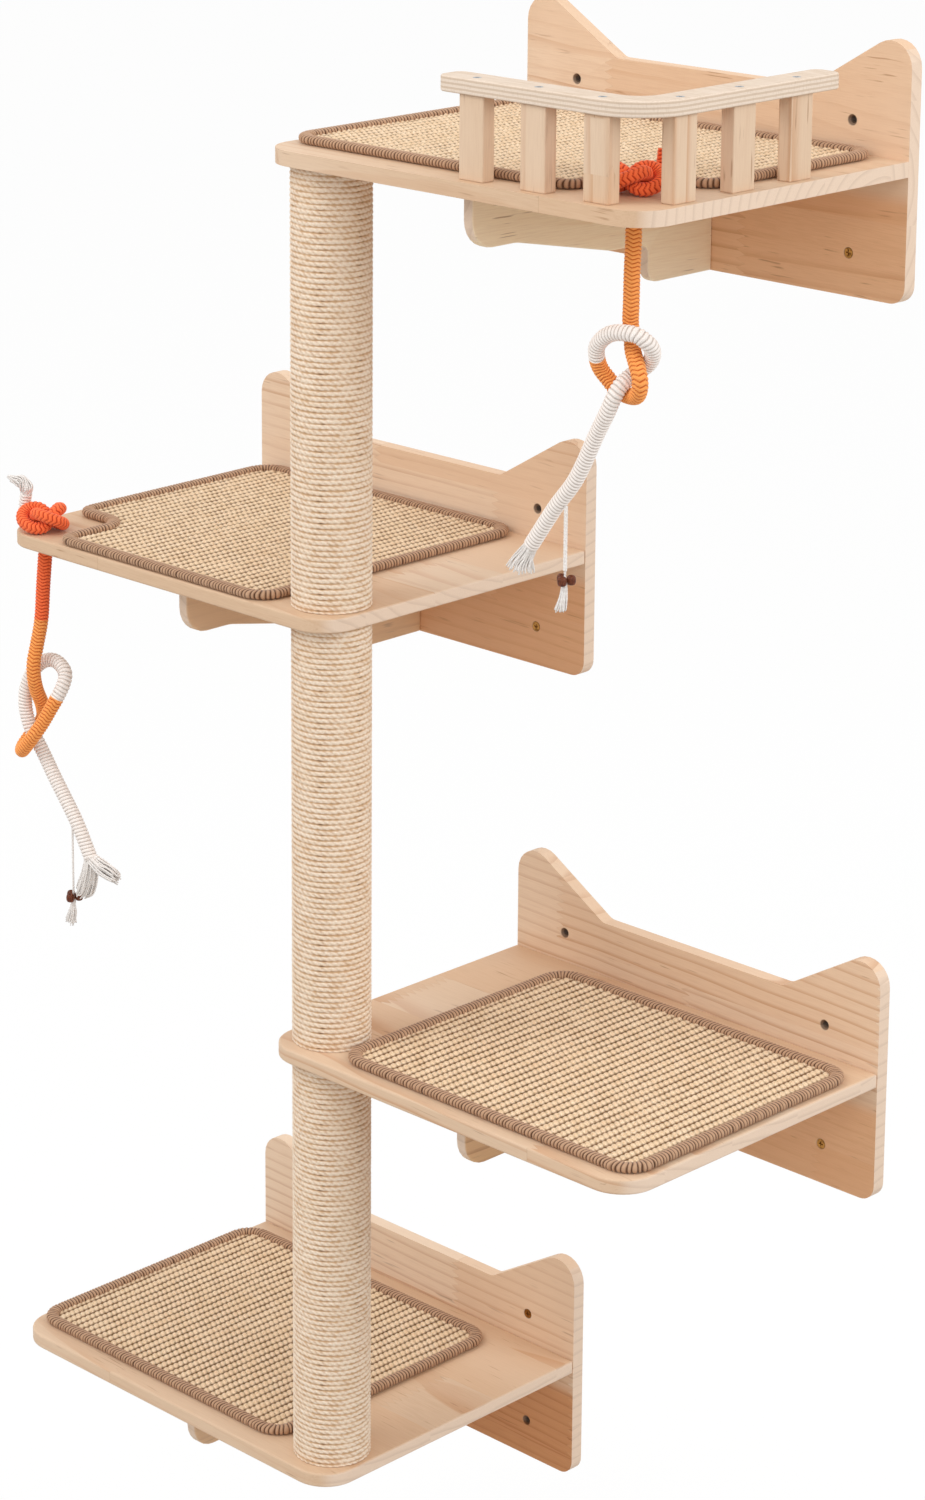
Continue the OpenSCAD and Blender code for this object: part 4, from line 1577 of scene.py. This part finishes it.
@dataclass(frozen=True)
class Bunch:
    """A bunch of loose strands that follows a short route.

    Attributes:
        route: Points of its middle line, in millimetres.
        spread: Its radius at each of those points, in millimetres.
        count: Number of strands.
        strand: Radius of one strand, in millimetres.
        swirl: How far the strands turn round the middle line, in degrees.
        ragged: Largest share of its last part by which a strand ends early.
        stray: How far a strand strays from its place, in millimetres.
        step: Distance between the points of a strand's line, in millimetres.
        taper: Radius of a strand's end as a share of its start.
        twist: Distance from one twist of a strand to the next, in millimetres.
        groove: Share of the radius by which the grooves between the twists lie deeper.
        sides: Faces round a strand.
    """

    route: tuple[Point, ...]
    spread: tuple[float, ...]
    count: int
    strand: float = 1.25
    swirl: float = 0.0
    ragged: float = 0.6
    stray: float = 0.6
    step: float = 1.8
    taper: float = 0.65
    twist: float = 2.2
    groove: float = 0.12
    sides: int = 5

    def lines(self, dice: np.random.Generator) -> list[np.ndarray]:
        """Lays the strands out.

        Args:
            dice: The source of their small differences.

        Returns:
            Each strand's middle line, in millimetres.
        """
        middle = np.array(self.route, float)
        normals, binormals = carried_axes(middle)
        lines = []
        for k in range(self.count):
            share = math.sqrt((k + 0.5) / self.count)
            turn = GOLDEN_TURN * k + math.radians(self.swirl) * np.linspace(0, 1, len(middle))
            out = np.cos(turn)[:, None] * normals + np.sin(turn)[:, None] * binormals
            points = middle + out * (np.array(self.spread) * share)[:, None]
            points[1:] += dice.normal(0, self.stray, points[1:].shape)
            points[-1] -= (points[-1] - points[-2]) * dice.uniform(0, self.ragged)
            lines.append(smooth_line(points, self.step))
        return lines


@dataclass
class RopeToy:
    """A rope toy: a knot on the shelf, a hanging rope with a loop, a frayed end, and beads on a thin cord.

    Lengths are in millimetres.

    Attributes:
        number: 1 for the toy at the top shelf, 2 for the one below it.
        route: The hanging rope's middle line below its pivot, from the shelf hole.
        colours: The rope's lit and shaded colours from the top.
        change_at: Points of the route at which the next colour starts.
        side: The side to which the knot winds.
        knot_turn: The knot's turn, in degrees.
        knot_tail: The end of the knot's line, as it lies where the knot winds to the right.
        cord_exit: Where the thin cord leaves the rope.
        cord_len: Its length to the beads.
        cord_r: Its radius.
        frays: The bunches at the rope's lower end.
        knot_fray: The bunch at the end of the knot's tail, in the knot's own place, if it is frayed.
        rope_r: Radius of the hanging rope.
        pivot_z: Height of its pivot from the shelf's top.
        shelf_t: Thickness of the shelf.
        cover: How far the soft cover stands out from the rope's CAD form.
        step: Distance between the points of a rope's line.
        sides: Faces round a rope.
        rib: Distance from one rib of the cover to the next.
        rope_groove: Share of the rope's radius by which the grooves between the ribs lie deeper.
        knit: How far the ribs rise and fall round the coloured rope, in ribs.
        white_knit: The same on the white rope.
        cord_twist: Distance from one twist of the thin cord to the next.
        cord_groove: Depth of its grooves, as a share of its radius.
        bead_r: Radius of a bead.
        bead_wall: Half of the width of a bead's wall, as a share of its radius.
        bead_rise: Half of its height, as a share of its radius.
        bead_off: Radius of the cord and the gap beside it.
        bead_cord_r: The most that the cord's radius is between the beads.
        tassel_len: Length of the tassel.
        knot_r: Radius of the knot's rope.
        knot_groove: Depth of its grooves, as a share of its radius.
        knot_span: Degrees along the knot's ring between which its rope winds.
        knot_steps: Number of points on that way.
        foot_at: Degrees along the ring under which the rope comes up through the shelf.
        ring_reach: Mean radius of the ring and how far it sways, in radii of the knot's rope.
        ring_rise: Its mean height and how far that sways, in radii of the knot's rope.
        lift: Gap between the knot and the shelf.
    """

    number: int
    route: tuple[Point, ...]
    colours: tuple[tuple[str, str], ...]
    change_at: tuple[Point, ...]
    side: Side
    knot_turn: float
    knot_tail: tuple[Point, ...]
    cord_exit: Point
    cord_len: float
    cord_r: float
    frays: tuple[Bunch, ...]
    knot_fray: Bunch | None = None
    rope_r: float = 7.0
    pivot_z: float = -22.3
    shelf_t: float = 15.0
    cover: float = 0.7
    step: float = 0.5
    sides: int = 24
    rib: float = 3.7
    rope_groove: float = 0.17
    knit: float = 0.5
    white_knit: float = 0.1
    cord_twist: float = 3.2
    cord_groove: float = 0.22
    bead_r: float = 4.5
    bead_wall: float = 0.41
    bead_rise: float = 0.96
    bead_off: float = 1.3
    bead_cord_r: float = 1.2
    tassel_len: float = 28.0
    knot_r: float = 5.8
    knot_groove: float = 0.19
    knot_span: tuple[float, float] = (8.0, 330.0)
    knot_steps: int = 31
    foot_at: float = -8.0
    ring_reach: tuple[float, float] = (2.76, 1.21)
    ring_rise: tuple[float, float] = (2.3, 1.3)
    lift: float = 0.3

    def hole(self) -> np.ndarray:
        """Finds the middle of the shelf hole at the shelf's top.

        Returns:
            The point, in metres.
        """
        low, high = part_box(f"toy_cord_{self.number}")
        middle = (low + high) / 2
        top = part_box(f"shelf_{self.number}")[1].z
        return np.array([middle.x - self.cord_exit[0] * MM, middle.y - self.cord_exit[1] * MM, top])

    def placed(self, points: np.ndarray) -> np.ndarray:
        """Puts points of the toy into the frame.

        Args:
            points: Points in millimetres from the shelf hole.

        Returns:
            The same points in metres.
        """
        return self.hole() + np.asarray(points, float) * MM

    def build(self) -> None:
        """Makes the whole toy."""
        strands = StrandFinish(f"cotton_{self.number}").material()
        body = f"toy_{self.number}"
        mesh = self.strands_mesh(f"toy_fray_strands_{self.number}", self.frays, Seed.FRAY)
        fray = add_piece(mesh, body, "cotton", strands, f"toy_fray_{self.number}")
        self.rope(body, fray)
        self.beaded_cord(body + "_beads", strands)
        self.knot(strands)

    def rope(self, body: str, fray: bpy.types.Object) -> None:
        """Makes the hanging rope.

        Args:
            body: The body that it moves with.
            fray: The frayed end on it; not used.
        """
        top = (0, 0, self.pivot_z + self.rope_r)
        line = self.placed(smooth_line(np.array([top, *self.route], float), self.step))
        along = run_along(line)
        thick = (self.rope_r + self.cover) * MM
        radius = thick * np.sqrt(np.clip(1 - np.clip(1 - along / thick, 0, 1) ** 2, 0.02, 1))
        nearest = [np.linalg.norm(line - self.placed(p), axis=1).argmin() for p in self.change_at]
        changes = tuple(float(along[k]) for k in nearest)
        look = ThreadFinish(f"toy_thread_{self.number}", self.colours, changes).material()
        knit = np.where(along < changes[-1], self.knit, self.white_knit)
        grid = rope_grid(line, radius, self.rib * MM, self.rope_groove, self.sides, knit)
        rope = add_piece(finished(grid, f"toy_rope_line_{self.number}"), body, "rope_orange", look,
                         f"toy_rope_{self.number}")
        self.placed((0, 0, -self.shelf_t)).tolist()

    def strand_parts(self, bunches: tuple[Bunch, ...], seed: Seed) -> list[bmesh.types.BMesh]:
        """Twists the strands of some bunches.

        Args:
            bunches: The bunches, in millimetres from the shelf hole.
            seed: Sets their small differences.

        Returns:
            One thin strand after another.
        """
        dice = np.random.default_rng(seed + self.number)
        parts = []
        for bunch in bunches:
            for line in bunch.lines(dice):
                radii = np.linspace(1.0, bunch.taper, len(line)) * bunch.strand * MM
                twist = bunch.twist * MM
                parts.append(rope_grid(self.placed(line), radii, twist, bunch.groove, bunch.sides))
        return parts

    def strands_mesh(self, name: str, bunches: tuple[Bunch, ...], seed: Seed) -> bpy.types.Mesh:
        """Gathers the strands of some bunches.

        Args:
            name: The mesh's name.
            bunches: The bunches, in millimetres from the shelf hole.
            seed: Sets their small differences.

        Returns:
            All the strands as one mesh.
        """
        return finished(joined(self.strand_parts(bunches, seed)), name)

    def beaded_cord(self, body: str, strands: bpy.types.Material) -> None:
        """Makes the thin cord with its beads and tassel.

        Args:
            body: The body that they move with.
            strands: The cotton's material.
        """
        n, r = self.number, self.cord_r
        top = np.array(self.cord_exit, float)
        end = self.cord_len + 2 * self.bead_r
        corners = np.array([top + (0, 0, r * 0.9), top - (0, 0, self.cord_len / 2), top - (0, 0, end)])
        line = self.placed(evenly(corners, self.step))
        radii = np.full(len(line), r * MM)
        thin_from = self.placed(top)[2] - (self.cord_len - 2 * r) * MM
        radii[line[:, 2] < thin_from] = min(r, self.bead_cord_r) * MM
        grid = rope_grid(line, radii, self.cord_twist * MM, self.cord_groove, 10)
        cord = add_piece(finished(grid, f"toy_thin_cord_{n}"), body, "cotton", strands, f"toy_cord_{n}")
        wood = BeadFinish(f"bead_wood_{n}").material()
        beads = add_piece(self.beads_mesh(), body, "bead_wood", wood, f"toy_beads_{n}")
        tassel = add_piece(self.tassel_mesh(end), body, "cotton", strands, f"toy_tassel_{n}")
        self.placed(top).tolist()

    def beads_mesh(self) -> bpy.types.Mesh:
        """Turns the three beads that are drawn up round the cord.

        Returns:
            The beads' mesh.
        """
        parts = []
        r = self.bead_r * MM
        place = np.array(self.cord_exit, float) - (0, 0, self.cord_len + self.bead_r)
        upright = Matrix(((1, 0, 0), (0, 0, -1), (0, 1, 0)))
        for degrees in (45, 165, 285):
            bm = bmesh.new()
            ring = bmesh.ops.create_circle(bm, segments=14, radius=1.0)["verts"]
            bmesh.ops.scale(bm, verts=ring, vec=(self.bead_wall * r, self.bead_rise * r, 1))
            bmesh.ops.rotate(bm, verts=ring, cent=(0, 0, 0), matrix=upright)
            bmesh.ops.translate(bm, verts=ring, vec=((1 - self.bead_wall) * r, 0, 0))
            bmesh.ops.spin(bm, geom=bm.verts[:] + bm.edges[:], cent=(0, 0, 0), axis=(0, 0, 1), steps=24,
                           angle=2 * math.pi, use_merge=True)
            a, reach = math.radians(degrees), self.bead_r + self.bead_off
            spot = self.placed(place + (reach * math.cos(a), reach * math.sin(a), 0))
            bmesh.ops.translate(bm, verts=bm.verts[:], vec=spot)
            parts.append(bm)
        return finished(joined(parts), f"toy_turned_beads_{self.number}")

    def tassel_mesh(self, end: float) -> bpy.types.Mesh:
        """Ties the tassel, whose strands spread below its neck.

        Args:
            end: How far its neck hangs below the cord's exit, in millimetres.

        Returns:
            The tassel's mesh.
        """
        neck = np.array(self.cord_exit, float) - (0, 0, end)
        falls = ((0, 0, 2), (0, 0, -2), (-1, -1, -0.45 * self.tassel_len), (-3, -3, 1 - self.tassel_len))
        route = tuple(tuple(neck + fall) for fall in falls)
        bunch = Bunch(route, (1.2, 1.6, 3.8, 6.4), 30, 0.95, ragged=0.3)
        parts = self.strand_parts((bunch,), Seed.TASSEL)
        tie = self.placed(evenly(np.array([neck + (0, 0, 2.5), neck, neck - (0, 0, 3.0)]), self.step))
        parts.append(rope_grid(tie, np.full(len(tie), 2.5 * MM), 1.2 * MM, 0.15, 12))
        return finished(joined(parts), f"toy_tassel_strands_{self.number}")

    def knot_ring(self, degrees: float) -> np.ndarray:
        """Finds a point of the knot's ring, round which its rope winds twice.

        Args:
            degrees: How far along the ring the point lies.

        Returns:
            The point, in the knot's own place.
        """
        t = math.radians(degrees)
        reach = (self.ring_reach[0] + self.ring_reach[1] * math.cos(3 * t)) * self.knot_r
        height = (self.ring_rise[0] + self.ring_rise[1] * math.sin(3 * t)) * self.knot_r
        height += self.lift + self.cover
        return np.array([reach * math.cos(2 * t), self.side.value * reach * math.sin(2 * t), height])

    def knot_foot(self) -> np.ndarray:
        """Returns where the rope comes up through the shelf, in the knot's own place."""
        return self.knot_ring(self.foot_at) * (1, 1, 0)

    def on_shelf(self, points: np.ndarray) -> np.ndarray:
        """Turns points of the knot into their place over the shelf hole.

        Args:
            points: Points in the knot's own place.

        Returns:
            The points, in millimetres from the shelf hole.
        """
        c, s = math.cos(math.radians(self.knot_turn)), math.sin(math.radians(self.knot_turn))
        turn = np.array([[c, s, 0], [-s, c, 0], [0, 0, 1]])
        return (np.asarray(points, float) - self.knot_foot()) @ turn

    def knot(self, strands: bpy.types.Material) -> None:
        """Makes the knot on top of the shelf and, on toy 2, its frayed tail.

        Args:
            strands: The cotton's material.
        """
        stem = [self.knot_foot() + (0, 0, z) for z in (-self.shelf_t, -self.shelf_t / 2, 2)]
        ring = [self.knot_ring(a) for a in np.linspace(*self.knot_span, self.knot_steps)]
        tail = np.array(self.knot_tail) * (1, self.side.value, 1)
        line = self.placed(self.on_shelf(smooth_line(np.vstack([stem, ring, tail]), self.step)))
        if self.knot_fray is None:
            look = ThreadFinish(f"knot_thread_{self.number}", (RED,)).material()
        else:
            white_from = self.placed(self.on_shelf(tail[-3:-1].mean(0)))
            at = float(np.linalg.norm(line - white_from, axis=1).argmin()) * self.step * MM
            colours = (RED, self.colours[-1])
            look = ThreadFinish(f"knot_thread_{self.number}", colours, (at,)).material()
            route = tuple(tuple(point) for point in self.on_shelf(self.knot_fray.route))
            bunch = replace(self.knot_fray, route=route)
            mesh = self.strands_mesh(f"knot_fray_strands_{self.number}", (bunch,), Seed.KNOT)
            add_piece(mesh, "root", "cotton", strands, f"toy_knot_fray_{self.number}")
        radii = np.full(len(line), (self.knot_r + self.cover) * MM)
        knit = np.full(len(line), self.knit)
        grid = rope_grid(line, radii, self.rib * MM, self.knot_groove, self.sides, knit)
        mesh = finished(grid, f"toy_knot_rope_{self.number}")
        add_piece(mesh, "root", "rope_red", look, f"toy_knot_{self.number}")


TOY_1 = RopeToy(
    number=1,
    route=((1, 0, -42), (-1, 1, -75), (-4, 4, -105), (-7, 7, -122), (-6, 8, -136), (-1, 4, -147),
           (6, 0, -155), (12, -3, -163), (15, -4, -171), (13, -2, -180), (5, 3, -188), (-10, 9, -191),
           (-25, 12, -189), (-35, 10, -180), (-40, 4, -169), (-38, -3, -157), (-33, -8, -146),
           (-22, -11, -136), (-10, -12, -130), (4, -11, -128), (14, -8, -129), (20, -2, -135),
           (20, 6, -143), (14, 13, -153), (5, 16, -162), (-4, 13, -169), (-8, 6, -174), (-9, -3, -180),
           (-12, -8, -190), (-20, -8, -206), (-36, -4, -230), (-63, 0, -276), (-89, 0, -309),
           (-118, 0, -350)),
    colours=(ORANGE, WHITE),
    change_at=((-39, -2, -159),),
    side=Side.RIGHT,
    knot_turn=152.0,
    knot_tail=((12, -20, 8), (14, -27, 13), (15, -31, 23), (16, -33, 36)),
    cord_exit=(-75.5, 0, -306.4),
    cord_len=64.5,
    cord_r=2.0,
    frays=(Bunch(((-117, 0, -349), (-124, 0, -359), (-130, 0, -368), (-132, 0, -378)),
                 (5.6, 7.5, 11, 15), 46),),
)
TOY_2 = RopeToy(
    number=2,
    route=((-6, 0, -64), (-9, -1, -103), (-11, -6, -131), (-11, -11, -150), (-12, -10, -167),
           (-15, -4, -183), (-18, 4, -197), (-23, 11, -210), (-30, 16, -221), (-38, 15, -232),
           (-43, 9, -242), (-42, -1, -250), (-34, -10, -252), (-24, -15, -246), (-14, -16, -236),
           (-5, -15, -225), (2, -11, -213), (9, -7, -199), (15, -2, -185), (18, 4, -172), (15, 10, -161),
           (6, 12, -154), (-5, 12, -151), (-16, 10, -153), (-25, 6, -160), (-32, 2, -171), (-36, -1, -186),
           (-37, -2, -202), (-34, -2, -217), (-28, -1, -231), (-20, 2, -245), (-10, 3, -259), (5, 2, -276),
           (41, 0, -315), (64, 0, -351)),
    colours=(RED, ORANGE, WHITE),
    change_at=((-9, -1, -103), (15, -2, -185)),
    side=Side.LEFT,
    knot_turn=120.0,
    knot_tail=((12, -20, 8), (13, -25.5, 13), (13, -26, 23), (10, -23, 36)),
    cord_exit=(34.4, 0, -319.8),
    cord_len=76.0,
    cord_r=1.2,
    frays=(Bunch(((63, 0, -349), (62, 0, -366), (55, 0, -385), (45, 0, -396)), (5.6, 9, 10, 6), 46),
           Bunch(((64, 0, -350), (79, 0, -356), (94, 0, -359), (108, 0, -362)), (5.6, 7, 8, 6), 40)),
    knot_fray=Bunch(((10, 23, 35), (8.6, 21.6, 42), (8, 28, 49), (5, 41, 53)), (4.8, 7, 6.5, 1.6), 34,
                    swirl=200),
)


@dataclass
class Hardware:
    """The screws, bolts and inner parts, which keep their CAD shapes and get their finishes here."""

    def build(self) -> None:
        """Gives every remaining CAD node its material."""
        brass = MetalFinish("brass_plating", "#B98545", "#5E3D1A").material()
        zinc = MetalFinish("zinc_plating", "#B4B8BC", "#85888C").material()
        plug = PineFinish("plug_pine", Grain.ALONG_Z, (0.02, 0.03), strip=1.0, part=2.0).material()
        card = CardFinish().material()
        plated = ("column_top_bolt", "column_studs", "column_foot_bolt", "rail_screws", "baluster_screws")
        looks = {"wall_screws": brass} | dict.fromkeys(plated, zinc)
        looks |= {f"shelf_screws_{i}": zinc for i in range(1, 5)}
        looks |= {f"post_core_{i}": card for i in range(1, 4)}
        looks |= {f"post_plugs_{i}": plug for i in range(1, 4)}
        for node, look in looks.items():
            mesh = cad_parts[node].data
            mesh.materials.clear()
            mesh.materials.append(look)
            LOG.info("%s keeps its CAD shape", node)


def main() -> None:
    """Builds the studio and every sub-assembly in order."""
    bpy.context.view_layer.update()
    Studio().build()
    for toy in (TOY_1, TOY_2):
        toy.build()
    Carcass().build()
    weave = SisalWeaveFinish().material()
    edge = ThreadFinish("mat_edge_thread", (("#BE987A", "#4C2C16"),), groove=0.95, fibres=900.0).material()
    notched = (WovenMat(1, (84 * MM, 92 * MM), True), WovenMat(2, (68 * MM, 85 * MM)))
    for mat in (*notched, WovenMat(3), WovenMat(4)):
        mat.build(weave, edge)
    Column().build()
    Hardware().build()


if __name__ == "__main__":
    logging.basicConfig(level=logging.INFO, format="%(name)s: %(message)s")
    main()
